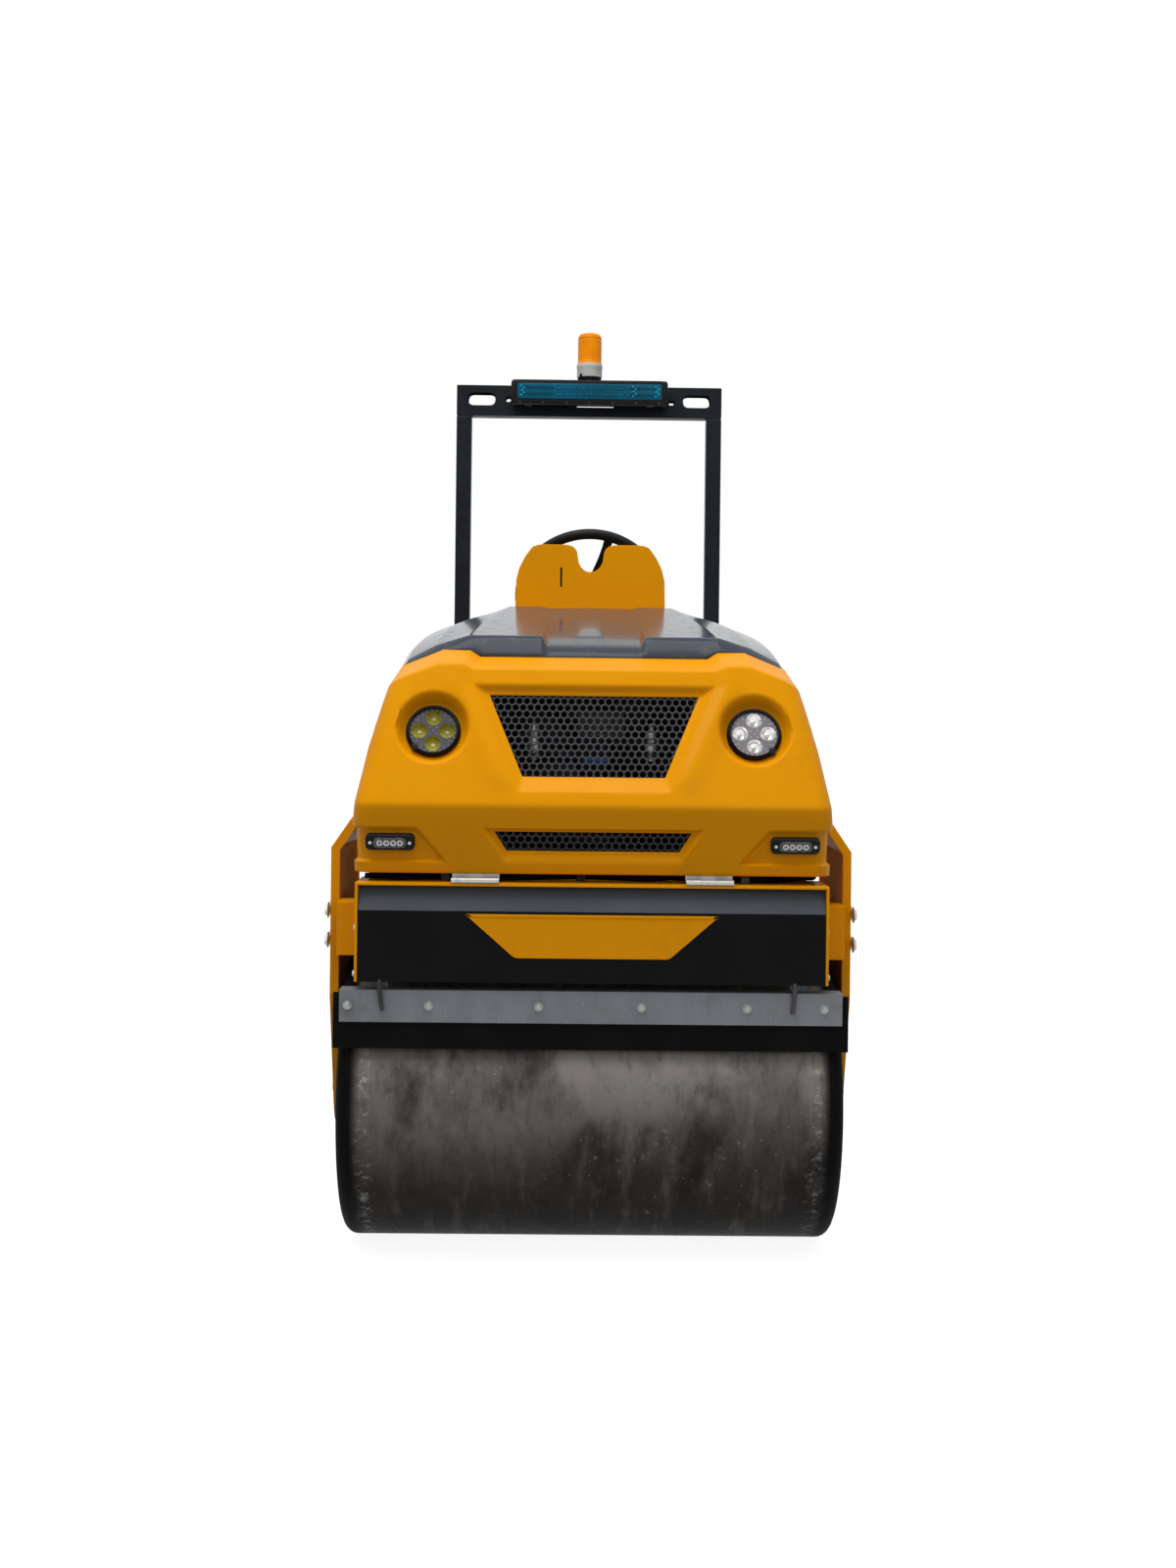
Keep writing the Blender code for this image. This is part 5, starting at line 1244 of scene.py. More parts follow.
# along a hanging pin: how far it has bent sideways, how far out it is, its height
PIN_BEND = ((0, 1.0375, 0.520), (0.002, 1.0385, 0.500), (0.008, 1.0385, 0.482), (0.016, 1.0380, 0.466))


class BuildFrameTrim(bpy.types.Operator):
    """Fasteners, hanging pins and hoses of both frames"""
    bl_idname = "roller.frame_trim"
    bl_label = "Frame trim"

    def execute(self, context):
        for body, sign, facing in (("front_frame", -1, "-y"), ("rear_frame", 1, "+y")):
            screws = bolts([(x, sign * 1.0302, 0.4733) for x in STRIP_SCREWS], facing, 0.0050, 0.0042)
            for x, turn in ((-0.370, 0.35), (0.3557, -0.2)):
                pin = pipe([(x + bend * turn, sign * y, z) for bend, y, z in PIN_BEND], 0.0040, 12, 14,
                           up=(0, 1, 0), coat=1)
                t = np.linspace(0, 2 * np.pi, 20, endpoint=False)
                eye = np.stack([x + 0.007 * np.cos(t), sign * 1.0378 + 0 * t, 0.513 + 0.0065 * np.sin(t)], -1)
                screws += pin + sweep(circle(0.0018, 8), eye, closed=True, up=(0, 1, 0), coat=1)
            piece(f"{body}_strip_fasteners", screws, ("bolt", "cast"), body)
            for side, out, way in (("left", -1, "-x"), ("right", 1, "+x")):
                heads = bolts([(out * ARM_FACE, sign * y, z) for y in (0.888, 0.920) for z in (0.626, 0.572)],
                              way, 0.0095, 0.0045)
                heads += bolts([(out * 0.4146, sign * y, z) for y, z in ((1.000, 0.606), (1.010, 0.526))],
                               way, 0.0050, 0.0045)
                foot = circle(0.052, 6, (sign * DRUM_Y, DRUM_RADIUS))
                heads += bolts([(out * ARM_FACE, y, z) for y, z in foot], way, 0.0080, 0.0040)
                cap = lathe([(0, 0.0048), (0.018, 0.0046), (0.027, 0.0038), (0.032, 0.0015), (0.033, 0)], 40, 1)
                heads += cap.facing(way, (out * 0.4760, sign * DRUM_Y, DRUM_RADIUS))
                piece(f"{body}_{side}_arm_bolts", heads, ("steel", "yellow"), body)
        hoses = pipe([(-0.402, -0.99, 0.6965), (-0.33, -1.005, 0.6962), (-0.26, -0.985, 0.6966),
                      (-0.14, -1.0, 0.6962), (-0.02, -0.98, 0.6966), (0.10, -1.002, 0.6962),
                      (0.14, -0.97, 0.6965)], 0.0048, 12, 60)
        hoses += pipe([(0.10, -0.93, 0.6965), (0.16, -0.985, 0.6964), (0.27, -1.0, 0.6962),
                       (0.34, -0.985, 0.6966), (0.402, -0.94, 0.6965)], 0.0048, 12, 44)
        hoses += slab(box_outline(0.806, 0.020, 0.004, (0, -0.925)), 0.6893, 0.7040, 0.003)
        clips = sum(slab(box_outline(0.016, 0.020, 0.002), 0.6895, 0.7025, 0.001, 1).moved(x, y)
                    for x, y in ((-0.26, -0.985), (-0.02, -0.98), (0.27, -1.0)))
        piece("hood_gap_hoses", hoses + clips, ("rubber", "cast"), "front_frame")
        return {"FINISHED"}


class BuildBadge(bpy.types.Operator):
    """Blank trapezoid plate with a raised border on the front tank"""
    bl_idname = "roller.badge"
    bl_label = "Badge plate"

    def execute(self, context):
        low, high = corners("badge_plate")
        outline = rounded([(-0.135, 0.560), (0.135, 0.560), (0.222, 0.636), (-0.222, 0.636)],
                          (0.007, 0.007, 0.004, 0.004), 4)
        base = slab(outline, low[1] - high[1], -0.0010, 0.0004)
        rim = border(outline, shrunk(outline, 0.0042), -0.0012, 0.0, 0.0005)
        piece("badge_blank", (base + rim).facing("-y", (0, low[1], 0)), "yellow", "front_frame",
              ("badge_plate",), 12)
        return {"FINISHED"}


# Roll bar, light bar and beacon

class BuildRollBar(bpy.types.Operator):
    """Slotted crossbar with its flanges, and the feet of the roll bar"""
    bl_idname = "roller.roll_bar"
    bl_label = "Roll bar"

    def execute(self, context):
        low, high = corners("rops_crossbar")
        (x0, y0, z0), (x1, y1, z1) = low, high
        middle, (wide, deep, tall) = (low + high) / 2, high - low
        outline = rounded([(x0, z0), (x1, z0), (x1, z1), (x0, z1)], 0.003, 2)
        holes = [box_outline(0.076, 0.036, 0.017, (s * 0.295, 1.841), 6) for s in (-1, 1)]
        holes += [circle(0.0085, 20, (-0.222, 1.841)), box_outline(0.015, 0.014, 0.001, (0.2262, 1.836), 2),
                  box_outline(0.102, 0.0115, 0.001, (0.0168, 1.8263), 2)]
        bar = plate(outline, holes, -0.005, 0.0, 0.0008).facing("-y", (0, y0, 0))
        bar += plate(outline, holes, 0.0, 0.005, 0.0008).facing("-y", (0, y1, 0))
        for z in (z0, z1 - 0.005):
            bar += slab(box_outline(wide - 0.006, deep - 0.006, 0.001, middle[:2]), z + 0.0004, z + 0.0046,
                        0.0004)
        for x in (x0 + 0.0025, x1 - 0.0025):
            end = slab(box_outline(deep - 0.006, tall - 0.004, 0.001), -0.002, 0.002, 0.0005)
            bar += end.facing("+x", (x, middle[1], middle[2]))
        piece("roll_bar_crossbar", bar, "tube", "rear_frame", ("rops_crossbar",), 30)
        for side, x in (("left", -0.343), ("right", 0.343)):
            foot = slab(box_outline(0.078, 0.096, 0.006, (x, 0.65)), 0.9301, 0.9381, 0.001)
            weld = raised(box_outline(0.045, 0.045, 0.004, (x, 0.65), 3), 0.9385)
            foot += sweep(circle(0.0032, 8), weld, closed=True)
            heads = bolts([(x + a, 0.65 + b, 0.9381) for a in (-0.029, 0.029) for b in (-0.037, 0.037)], "+z",
                          0.0065, 0.005, 1)
            piece(f"roll_bar_foot_{side}", foot + heads, ("tube", "steel"), "rear_frame")
        return {"FINISHED"}


class BuildLightBar(bpy.types.Operator):
    """Ribbed light bar with rounded ends, its tinted lens over two rows of chips, brackets and screws"""
    bl_idname = "roller.light_bar"
    bl_label = "Light bar"

    def execute(self, context):
        low, high = corners("light_bar")
        face, back = low[1] + 0.003, high[1]
        z0, z1 = low[2] + 0.006, high[2]
        middle = (z0 + z1) / 2
        body = slab(box_outline(0.415, z1 - z0 - 0.004, 0.014, (0, middle), 8), 0.0, 0.018, 0.004, 0, 3)
        shape = body.facing("-y", (0, face + 0.018, 0))
        for z in np.linspace(z0 + 0.008, z1 - 0.008, 7):
            rib = slab(box_outline(0.396, 0.0032, 0.0012, (0, z), 3), 0.0, back - face - 0.019, 0.0008)
            shape += rib.facing("-y", (0, back - 0.001, 0))
        cap = slab(rounded([(face + 0.001, z0), (back - 0.004, z0 + 0.006), (back, middle),
                            (back - 0.004, z1 - 0.006), (face + 0.001, z1), (face - 0.002, middle)], 0.012, 6),
                   0.0, 0.0190, 0.0090, 0, 5)
        foot = slab(rounded([(face + 0.010, z0 + 0.002), (0.628, z0 + 0.002), (0.628, z0 + 0.012),
                             (face + 0.010, z0 + 0.018)], 0.003, 2), -0.010, 0.010, 0.001)
        for s, cap_x, way in ((-1, -0.2125, "-x"), (1, 0.1935, "+x")):
            shape += cap.facing("+x", (cap_x, 0, 0))
            shape += bolts([(s * 0.2120, (face + back) / 2, middle)], way, 0.006, 0.0, 1)
            shape += foot.facing("+x", (s * 0.165, 0, 0))
        for x in np.linspace(-0.188, 0.188, 7):
            for z in (z0 + 0.0055, z1 - 0.0055):
                shape += bolts([(x, face + 0.0005, z)], "-y", 0.0016, 0.0012, 1)
        piece("light_bar_housing", shape, ("black", "cast"), "rear_frame", ("light_bar",), 35)
        middle += 0.0015
        window = slab(box_outline(0.390, 0.0415, 0.005, (0, middle), 5), -0.004, 0.0012, 0.0010)
        dot = lathe([(0.0, 0.0026), (0.0012, 0.0024), (0.0018, 0.0019)], 10, 2)
        for z in (middle - 0.0086, middle + 0.0086):
            for k in range(34):
                x = (k - 16.5) * 0.0108
                dotted = 7 < k < 27
                chip = box_outline(0.0074 if dotted else 0.0096, 0.0086, 0.0015, (x, z), 1)
                window += slab(chip, 0.0009, 0.0020, 0.0005, 1, 1)
                if dotted:
                    window += dot.moved(x, z)
        glint = lathe([(0.0, 0.0036), (0.0022, 0.0031), (0.0036, 0.0009)], 12, 2)
        for x in (-0.181, 0.121, 0.183):
            for p, q in ((-0.0035, -0.0125), (0.0035, -0.0060), (-0.0020, 0.0005), (0.0035, 0.0070),
                         (-0.0035, 0.0130)):
                window += glint.moved(x + p, middle + q)
        window = window.facing("-y", (0, face - 0.0002, 0))
        piece("light_bar_window", window, ("teal", "teal_dark", "teal_light"), "rear_frame",
              ("light_bar_lens",))
        return {"FINISHED"}


class BuildBeacon(bpy.types.Operator):
    """Fluted amber beacon on a pale collar and a black rubber foot"""
    bl_idname = "roller.beacon"
    bl_label = "Beacon"

    def execute(self, context):
        low, high = corners("beacon_dome")
        x, y, bottom = (low[0] + high[0]) / 2, (low[1] + high[1]) / 2, low[2]
        tall = high[2] - bottom
        profile = [(0.0335, 0.0), (0.0338, 0.004), (0.0325, 0.006)]
        for z in (0.0075, 0.0115):
            profile += [(0.0325, z), (0.0325, z + 0.0025), (0.0321, z + 0.0029), (0.0321, z + 0.0035)]
        profile += [(0.0323, z) for z in np.linspace(0.018, tall - 0.022, 6)]
        profile += [(r, tall - drop) for r, drop in (
            (0.0323, 0.0190), (0.0319, 0.0185), (0.0319, 0.0175), (0.0323, 0.0170), (0.0318, 0.0110),
            (0.0300, 0.0060), (0.0270, 0.0030), (0.0225, 0.0012), (0.0120, 0.0003), (0.0, 0.0))]

        def fluted(p, q, r):
            wave = 0.00022 * np.cos(36 * np.arctan2(q, p)) * ((r > 0.014) & (r < tall - 0.020))
            swell = 1 + wave / np.maximum(np.hypot(p, q), SMALL)
            return p * swell, q * swell, r

        dome = lathe(profile, 144).mapped(fluted)
        cap = lathe([(0.0, 0.012), (0.006, 0.030), (0.012, 0.036), (0.014, 0.020), (0.018, 0.003),
                     (0.0, 0.001)], 24, 1)
        piece("beacon_lens", (dome + cap).moved(x, y, bottom), ("amber", "amber_core"), "rear_frame",
              ("beacon_dome",), 60)
        foot = corners("beacon_base")[0][2]
        height = bottom - foot
        collar = lathe([(r, height - drop) for r, drop in (
            (0.0, 0.0), (0.0345, 0.0), (0.0355, 0.002), (0.0355, 0.010), (0.0345, 0.012), (0.0345, 0.036),
            (0.0330, 0.038), (0.0, 0.038))], 56)
        rubber_foot = lathe([(0.0, height - 0.037), (0.0310, height - 0.037), (0.0322, height - 0.040),
                             (0.0322, 0.010), (0.0290, 0.007), (0.0285, 0.001), (0.028, 0.0),
                             (0.0, 0.0)], 48, 1)
        nib = slab(box_outline(0.006, 0.014, 0.002), 0.0, 0.0045, 0.001, 1).placed(
            (-0.0225, -0.0268, 0.026), (0.77, -0.64, 0), (0, 0, 1))
        piece("beacon_collar", (collar + rubber_foot + nib).moved(x, y, foot), ("pale", "rubber"), "rear_frame",
              ("beacon_base",))
        return {"FINISHED"}


# Driver's place

class BuildConsole(bpy.types.Operator):
    """Console shield with its notch, instrument panel, gauges and switches"""
    bl_idname = "roller.console"
    bl_label = "Console"

    def execute(self, context):
        low, high = corners("console_plate")
        # right half of the notched top, from the photograph: pixels right of the middle and down, in metres
        step = 0.0022297
        half = [(75.5, 592), (72.5, 580), (66.5, 568), (59, 558), (52, 556), (24, 556), (18, 557.5), (14, 562),
                (13, 569), (12, 575), (8.5, 580.5), (3.5, 583.6)]
        right = [(0.1695, low[2] + 0.02), (0.1705, 1.21)]
        right = np.array(right + [(x * step * 1.002, 1 + (721 - y) * step) for x, y in half])
        outline = rounded(np.vstack([right, right[::-1] * (-1, 1)]), 0.006, 3)
        slot = box_outline(0.0064, 0.047, 0.0018, (-0.0665, 1.2940), 2)
        shield = plate(outline, [slot], 0.0, high[1] - low[1], 0.0010).facing("-y", (0, high[1], 0))
        # painted shade: a black sheet behind the slot, so the slot shows dark
        behind = slab(box_outline(0.014, 0.052, 0.002, (-0.0665, 1.2945)), 0.0, 0.0012, 0.0003, 2)
        shield += behind.facing("-y", (0, high[1] + 0.0013, 0))
        shield += bolts([(x, low[1], z) for x in (-0.11, 0.11) for z in (0.93, 1.12)], "-y", 0.006,
                        0.0045, 1)
        piece("console_shield", shield, ("yellow", "steel", "inner"), "rear_frame",
              ("console_plate",), 30)
        gauge = lathe([(0.0, 0.0052), (0.0255, 0.0052), (0.026, 0.0085), (0.029, 0.0085), (0.0305, 0.006),
                       (0.0305, 0.003)], 40, 1)
        gauge += lathe([(0.0, 0.0062), (0.0252, 0.0062), (0.0254, 0.004)], 40, 2)
        needle = rounded([(-0.0009, -0.004), (0.0009, -0.004), (0.0004, 0.018), (-0.0004, 0.018)], 0.0003, 1)
        gauge += slab(needle, 0.0063, 0.0072, 0.0002, 4)
        tick = slab(box_outline(0.0008, 0.004), 0.0062, 0.0067, 0.0001, 4).moved(0, 0.0215)
        for a in np.linspace(-2.2, 2.2, 11):
            c, s = math.cos(a), math.sin(a)
            gauge += tick.mapped(lambda p, q, r: (p * c + q * s, q * c - p * s, r))
        panel = slab(box_outline(0.232, 0.215, 0.014, steps=5), 0.0, 0.004, 0.0012)
        for x in (-0.055, 0.055):
            panel += gauge.moved(x, 0.045)
        for k in range(4):
            switch = box_outline(0.021, 0.032, 0.003, (-0.072 + k * 0.030, -0.035), 3)
            panel += slab(switch, 0.003, 0.0115, 0.0022, 1)
        panel += lathe([(0.0, 0.016), (0.006, 0.016), (0.007, 0.015), (0.007, 0.006), (0.013, 0.005),
                        (0.0135, 0.002)], 28, 3).moved(0.070, -0.035)
        for x, key in ((-0.02, 5), (0.0, 4), (0.02, 6)):
            panel += lathe([(0.0, 0.0075), (0.0035, 0.0068), (0.0048, 0.003)], 16, key).moved(x, -0.075)
        # the panel lies on the console body's sloping back
        low, high = corners("console_body")
        edge, foot = high[1:] - (0.07, 0.12), np.array([high[1], low[2]])
        up = (edge - foot) / np.linalg.norm(edge - foot)
        shape = panel.placed((0, *(edge - up * 0.122)), (-1, 0, 0), (0, *up))
        piece("instrument_panel", shape, ("black", "inner", "pale", "steel", "amber_core", "red", "teal_light"),
              "rear_frame")
        return {"FINISHED"}


class BuildSteeringWheel(bpy.types.Operator):
    """Steering wheel with a shaped rim, three dished spokes and a domed hub"""
    bl_idname = "roller.steering_wheel"
    bl_label = "Steering wheel"

    def execute(self, context):
        path = raised(circle(0.166, 96), 0.0)
        shape = sweep(circle(1.0, 20) * (0.0123, 0.0120), path, closed=True)
        r = np.linspace(0.020, 0.162, 14)
        dish = 0.006 * (1 - ease(r, 0.03, 0.15)) - 0.002
        width = 1.0 - 0.35 * ease(r, 0.03, 0.12) + 0.15 * ease(r, 0.14, 0.168)
        for turn in np.radians((46, 166, 286)):
            way = np.stack([r * math.cos(turn), r * math.sin(turn), dish], -1)
            shape += sweep(box_outline(0.030, 0.007, 0.003, steps=3), way, scale=width)
        hub = lathe([(0.0, 0.020), (0.014, 0.0195), (0.024, 0.017), (0.0245, 0.014), (0.033, 0.012),
                     (0.0355, 0.008), (0.0355, -0.008), (0.026, -0.0195), (0.0, -0.0195)], 48)
        made = (shape + hub).placed((0, 0.055, 1.262), (1, 0, 0), (0, 0.5, -0.866))
        piece("wheel_rim_and_spokes", made, "black", "steering_wheel", ("steering_wheel",), 40)
        return {"FINISHED"}


BACK_HALF_THICK = 0.033  # of the seat back's pad
PAD_START, PAD_SWELL = 0.010, 0.014  # how much smaller a pad starts, and how far a point may then move out


class BuildSeat(bpy.types.Operator):
    """Seat cushion and back: crowned pads with piping and sewn channels"""
    bl_idname = "roller.seat"
    bl_label = "Seat"

    def execute(self, context):
        for name, node, thin, along, form in (("seat_pad", "seat_cushion", 2, 1, cushion_form),
                                              ("back_pad", "seat_back", 1, 2, back_form)):
            low, high = corners(node)
            middle, half = (low + high) / 2, (high - low) / 2
            if node == "seat_back":
                half[1] = BACK_HALF_THICK
            low, high = middle - half, middle + half
            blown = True
            made = scene_object(name, pad_shape(middle, half - PAD_START * blown, thin))
            mend(made.data, 1e-5)
            if blown:
                swell(context, made, PAD_SWELL)
            mesh = made.data
            points = read_points(mesh)
            out = 1 if thin == 2 else -1
            points[:, thin] -= out * seams(points, (points - middle) / half, thin, along, out)
            points = form(np.clip(points, low - 0.004, high + 0.004), low, high)
            mesh.vertices.foreach_set("co", points.ravel())
            mesh.materials.clear()
            mesh.materials.append(finish("vinyl"))
            mesh.shade_smooth()
            soft = made.modifiers.new("Smooth", "SUBSURF")
            soft.levels = soft.render_levels = 1
            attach(made, "rear_frame")
            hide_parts(node)
        low, high = corners("seat_back")
        foot, top = np.array([0, 0.7565, low[2] + 0.004]), np.array([0, 0.8305, high[2]])
        tall = np.linalg.norm(top - foot)
        right = np.array([(0.200, 0), (0.188, tall - 0.145), (0.156, tall - 0.012)])
        outline = rounded(np.vstack([right[:1] * (-1, 1), right, right[:0:-1] * (-1, 1)]), 0.045, 8)
        shell = slab(outline, 0.0, 0.0100, 0.004, 0, 3)
        for x in (-0.11, 0.11):
            shell += slab(box_outline(0.030, 0.080, 0.004, (x, 0.046)), 0.009, 0.0125, 0.001, 1)
        bracket = slab(box_outline(0.12, 0.24, 0.010, (0, low[2] + 0.120)), 0, 0.015, 0.001, 1)
        made = shell.placed(foot, (-1, 0, 0), top - foot) + bracket.facing("-y", (0, 0.750, 0))
        piece("seat_back_shell", made, ("black", "steel"), "rear_frame")
        return {"FINISHED"}


def read_points(mesh):
    """The points of a mesh as an array."""
    points = np.zeros(len(mesh.vertices) * 3)
    mesh.vertices.foreach_get("co", points)
    return points.reshape(-1, 3)


def seams(points, spread, thin, along, out):
    """How deep each point is pressed in: three sewn valleys across the pad and a seam round its border."""
    valley = sum(np.exp(-((spread[:, along] - k) / 0.028) ** 2) for k in np.linspace(-0.55, 0.45, 3))
    far = np.maximum(np.abs(spread[:, 0]), np.abs(spread[:, along]))
    border_seam = np.exp(-((far - 0.84) / 0.025) ** 2)
    inside = np.abs(spread[:, 0]) < 0.84
    return 0.006 * (valley * inside + border_seam).clip(0, 1) * (spread[:, thin] * out > 0.2)


def cushion_form(points, low, high):
    """Presses a block into the cushion: dished between its bolsters, lower behind, and undercut in front."""
    x, y, z = points.T
    part = (z - low[2]) / (high[2] - low[2])
    under = 0.040 * (1 - (y - low[1]) / 0.14).clip(0, 1)
    dish = np.maximum(0.018 * (y - low[1]) / (high[1] - low[1]), 0.031 * (1 - ease(np.abs(x), 0.13, 0.20)))
    return np.stack([x, y, z + under * (1 - part) - dish * part], -1)


def back_form(points, low, high):
    """Leans a block backwards as the seat back leans, and narrows it towards its top."""
    x, y, z = points.T
    part = (z - low[2]) / (high[2] - low[2])
    return np.stack([x * (1 - 0.16 * ease(z, high[2] - 0.15, high[2])),
                     y - (low[1] + high[1]) / 2 + 0.7225 + 0.0765 * part, z], -1)


def pad_shape(middle, half, thin):
    """A block whose three radii follow a superellipse, so it is nearly flat with full rounded sides."""
    u = np.linspace(-np.pi / 2, np.pi / 2, 25)[:, None]
    v = np.linspace(-np.pi, np.pi, 73)[None, :-1]

    def power(value, n):
        return np.sign(value) * np.abs(value) ** n

    parts = [power(np.cos(u), 0.45) * power(np.cos(v), 0.30), power(np.cos(u), 0.45) * power(np.sin(v), 0.30)]
    parts.insert(thin, power(np.sin(u), 0.55) + 0 * v)
    return grid(np.stack(parts, -1) * half + middle, wrap_columns=True)


def swell(context, made, cap):
    """Remeshes a pad, blows it up a little with the cloth simulation, and keeps how far each point may move."""
    context.view_layer.objects.active = made
    mesh = made.modifiers.new("Remesh", "REMESH")
    mesh.mode, mesh.voxel_size = "VOXEL", 0.0065
    graph = context.evaluated_depsgraph_get()
    made.data = bpy.data.meshes.new_from_object(made.evaluated_get(graph))
    made.modifiers.clear()
    before = read_points(made.data)
    cloth = made.modifiers.new("Cloth", "CLOTH")
    cloth.settings.use_pressure = True
    cloth.settings.uniform_pressure_force = 4.0
    cloth.settings.effector_weights.gravity = 0.0
    cloth.settings.tension_stiffness = 15
    cloth.point_cache.frame_start, cloth.point_cache.frame_end = 1, 20
    for frame_number in range(1, 21):
        context.scene.frame_set(frame_number)
    graph = context.evaluated_depsgraph_get()
    result = bpy.data.meshes.new_from_object(made.evaluated_get(graph))
    move = read_points(result) - before
    move *= np.minimum(1, cap / np.maximum(np.linalg.norm(move, axis=1)[:, None], SMALL))
    made.modifiers.clear()
    made.data = result
    result.vertices.foreach_set("co", (before + move).ravel())
    context.scene.frame_set(1)


class BuildRearDetails(bpy.types.Operator):
    """Tail lamps, louvers, filler cap, floor mat, and lever knob with its boot on the rear body"""
    bl_idname = "roller.rear_details"
    bl_label = "Rear details"

    def execute(self, context):
        for side in ("left", "right"):
            low, high = corners(f"tail_lamp_{side}")
            x, z, r = (low[0] + high[0]) / 2, (low[2] + high[2]) / 2, (high[0] - low[0]) / 2
            ring = lathe([(r * 0.80, 0.0), (r * 0.80, 0.004), (r * 0.86, 0.006), (r * 0.97, 0.005), (r, 0.002),
                          (r, 0.0)], 48)
            lens = [(0.0, 0.0062)]
            for part in np.arange(1, 7) / 6:
                sink = 0.0016 * part ** 2
                lens += [(r * (0.80 * part - 0.06), 0.0062 - sink), (r * (0.80 * part - 0.02), 0.0052 - sink)]
            shape = ring + lathe(lens + [(r * 0.80, 0.0)], 48, 1)
            shape = shape.facing("+y", (x, high[1] - 0.0062, z))
            piece(f"tail_lamp_{side}_unit", shape, ("black", "red"), "rear_frame",
                  (f"tail_lamp_{side}",))
        body_high = corners("rear_body")[1]
        panel = plate(box_outline(0.40, 0.110, 0.008, (0, 0.835), 4),
                      [box_outline(0.37, 0.082, 0.006, (0, 0.835), 4)], 0.0, 0.004, 0.001, 1)
        s, x = np.meshgrid(np.linspace(0, 1, 7), np.linspace(-0.184, 0.184, 3), indexing="ij")
        for k in range(5):
            height, out = 0.803 + k * 0.016 + 0.012 - 0.014 * s, 0.0005 + 0.0045 * np.sin(np.pi * s * 0.95)
            panel += grid(np.stack([x, height, out], -1), coat=1)
        # painted shade: a black sheet under the louvers, standing in for the vent's dark inside
        panel += slab(box_outline(0.38, 0.092, 0.006, (0, 0.835), 4), 0.0, 0.0008, 0.0002, 2)
        panel = panel.facing("+y", (0, body_high[1], 0))
        piece("rear_louvers", panel, ("yellow", "black", "inner"), "rear_frame")
        cap = lathe([(0, 0.030), (0.020, 0.030), (0.024, 0.027), (0.026, 0.020), (0.031, 0.018), (0.033, 0.014),
                     (0.033, 0.004), (0.036, 0.0)], 40)
        for place in circle(0.0335, 12):
            cap += slab(box_outline(0.0035, 0.004, 0.001, place), 0.003, 0.016, 0.0006)
        piece("fuel_cap", cap.moved(0.24, 0.93, body_high[2]), "black", "rear_frame")
        low, high = corners("platform")
        y, deep, top = (low[1] + high[1]) / 2, high[1] - low[1], high[2]
        mat = slab(box_outline(0.780, deep - 0.050, 0.012, (0, y)), top, top + 0.003, 0.001)
        for x in np.arange(-18, 19) * 0.0205:
            rib = box_outline(0.008, deep - 0.085, 0.0025, (x, y))
            mat += slab(rib, top + 0.0028, top + 0.0052, 0.0008)
        piece("floor_mat", mat, "rubber", "rear_frame")
        low, high = corners("travel_lever")
        x, y = (low[0] + high[0]) / 2, (low[1] + high[1]) / 2
        knob = lathe([(0.0, 0.0), (0.0075, 0.001), (0.008, 0.012), (0.014, 0.020), (0.0185, 0.034),
                      (0.0165, 0.046), (0.009, 0.053), (0.0, 0.055)], 36)
        boot = lathe([(0.034, 0.0), (0.034, 0.004), (0.027, 0.010), (0.030, 0.016), (0.021, 0.024),
                      (0.023, 0.030), (0.0125, 0.040), (0.010, 0.042)], 40, 1)
        knob = knob.moved(x, y, high[2] - 0.0555) + boot.moved(x, y, body_high[2])
        piece("lever_knob_and_boot", knob, ("black", "rubber"), "rear_frame")
        return {"FINISHED"}


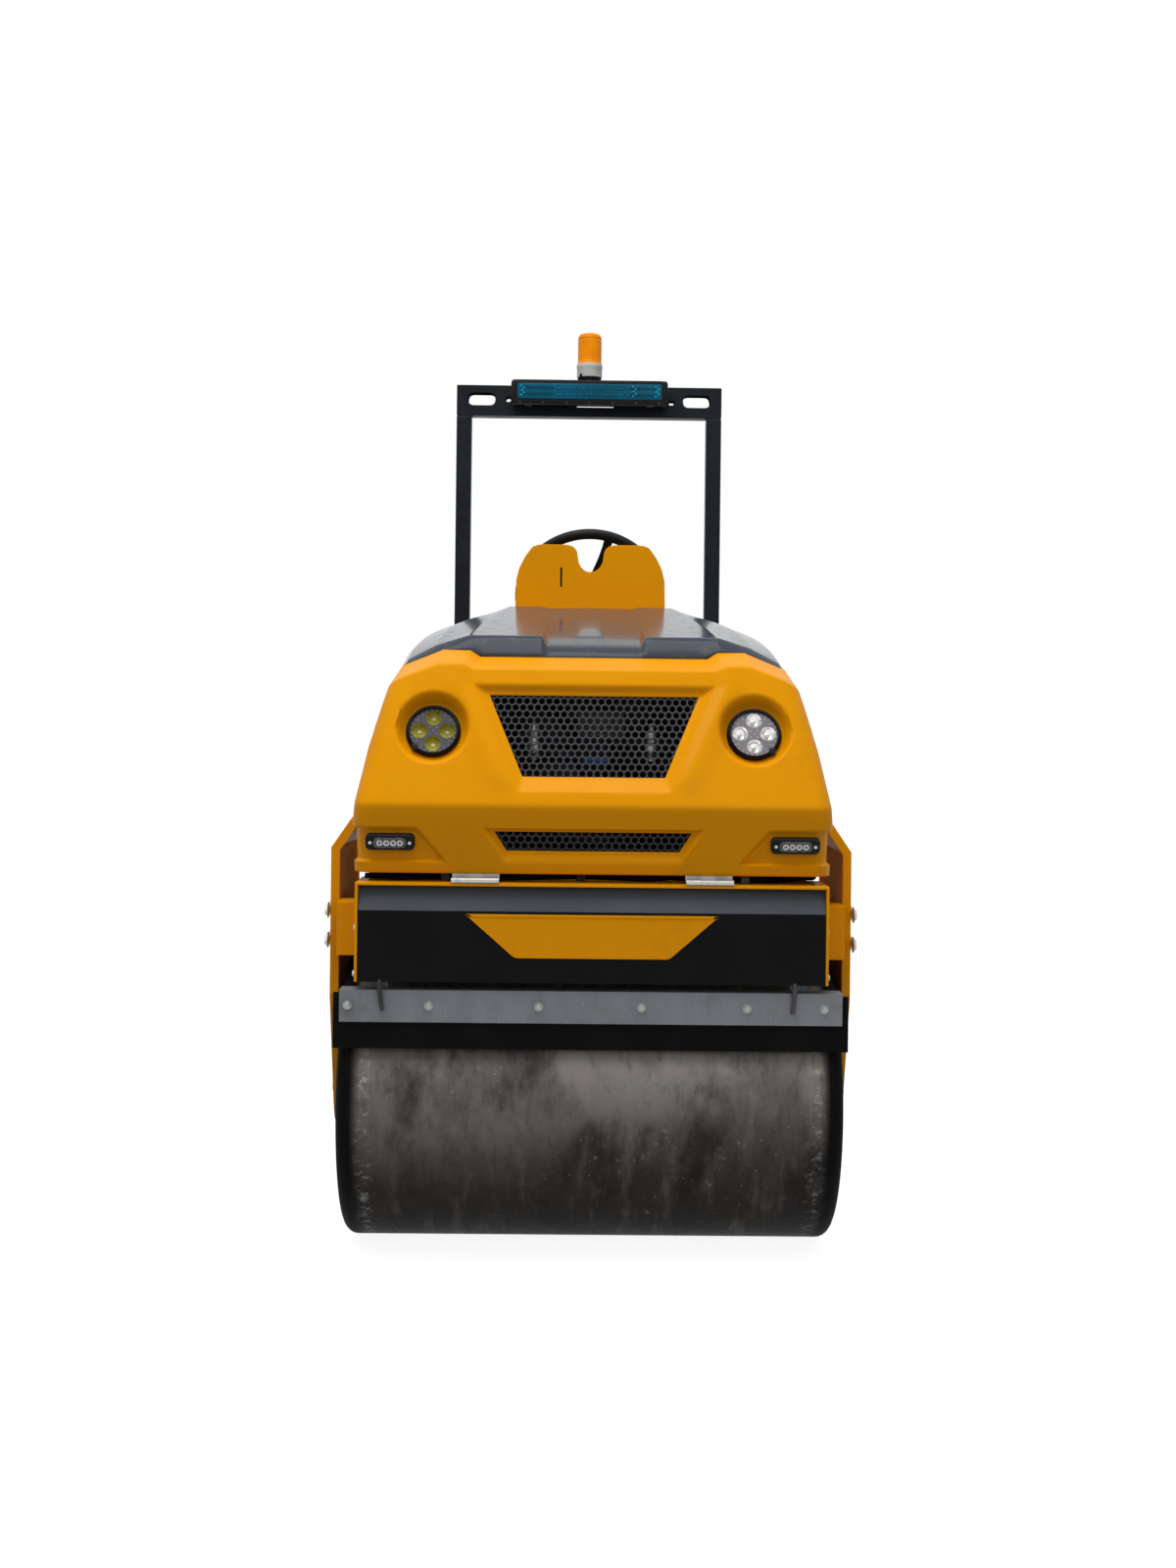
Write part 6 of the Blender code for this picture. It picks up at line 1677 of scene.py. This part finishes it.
class BuildEngineDetails(bpy.types.Operator):
    """Air filter, muffler, battery and radiator core that show when the hood is up"""
    bl_idname = "roller.engine_details"
    bl_label = "Engine details"

    def execute(self, context):
        top = corners("engine_block")[1][2]
        air_filter = lathe([(0, 0.0), (0.040, 0.0), (0.045, 0.004), (0.045, 0.020), (0.042, 0.022),
                            (0.042, 0.130), (0.045, 0.132), (0.045, 0.150), (0.036, 0.158), (0.0, 0.160)], 48)
        shape = air_filter.mapped(lambda p, q, r: (r - 0.19, q - 0.56, p + top + 0.046))
        shape += slab(box_outline(0.20, 0.11, 0.014, (0.02, -0.62)), top - 0.002, top + 0.030, 0.006, 0, 3)
        shape += bolts([(x, y, top + 0.030) for x in (-0.06, -0.01, 0.04, 0.09) for y in (-0.585, -0.655)],
                       "+z", 0.005, 0.004, 1)
        muffler = lathe([(0, 0.0), (0.030, 0.0), (0.040, 0.010), (0.040, 0.150), (0.030, 0.160),
                         (0, 0.160)], 40, 2)
        shape += muffler.mapped(lambda p, q, r: (q + 0.145, r - 0.79, p + 0.93))
        shape += pipe([(0.145, -0.63, 0.93), (0.145, -0.60, 0.925), (0.150, -0.56, 0.90)], 0.016, 18, 16,
                      coat=2)
        piece("engine_top_parts", shape, ("inner", "steel", "cast"), "front_frame")
        low, high = corners("radiator")
        core = sum(slab(box_outline(0.0022, 0.30, 0.0, (-0.166 + k * 0.01145, 0.84)), 0.0, 0.0035, 0.0004, 0, 1)
                   for k in range(30))
        core += plate(box_outline(0.372, 0.37, 0.006, (0, 0.82)),
                      [box_outline(0.345, 0.315, 0.004, (0, 0.84))], 0.0, 0.007, 0.001, 1)
        piece("radiator_core", core.facing("-y", (0, low[1], 0)), ("cast", "inner"), "front_frame")
        cap = lathe([(0, 0.016), (0.014, 0.015), (0.020, 0.011), (0.022, 0.0)], 28)
        piece("radiator_cap", cap.moved(0.08, (low[1] + high[1]) / 2, high[2]), "steel", "front_frame")
        return {"FINISHED"}


# Panel, registration and main

OPERATORS = (DressSolids, BuildHood, BuildGrille, BuildHeadlamps, BuildStrobes, BuildDrums, BuildFrameTrim,
             BuildBadge, BuildRollBar, BuildLightBar, BuildBeacon, BuildConsole, BuildSteeringWheel, BuildSeat,
             BuildRearDetails, BuildEngineDetails, BuildStage)


class RollerPanel(bpy.types.Panel):
    """Lists the steps that build the roller's looks"""
    bl_idname = "VIEW3D_PT_roller"
    bl_label = "Mini tandem roller"
    bl_space_type = "VIEW_3D"
    bl_region_type = "UI"
    bl_category = "Roller"

    def draw(self, context):
        for group in (context.scene.roller_paints, context.scene.roller_sizes):
            for name in group.__annotations__:
                self.layout.prop(group, name)
        for operator in OPERATORS:
            self.layout.operator(operator.bl_idname)


CLASSES = (RollerPaints, RollerSizes, *OPERATORS, RollerPanel)


def register():
    for made in CLASSES:
        bpy.utils.register_class(made)
    bpy.types.Scene.roller_paints = bpy.props.PointerProperty(type=RollerPaints)
    bpy.types.Scene.roller_sizes = bpy.props.PointerProperty(type=RollerSizes)


def unregister():
    del bpy.types.Scene.roller_paints, bpy.types.Scene.roller_sizes
    for made in CLASSES[::-1]:
        bpy.utils.unregister_class(made)


def main():
    register()
    for operator in OPERATORS:
        group, name = operator.bl_idname.split(".")
        getattr(getattr(bpy.ops, group), name)()


if __name__ == "__main__":
    main()
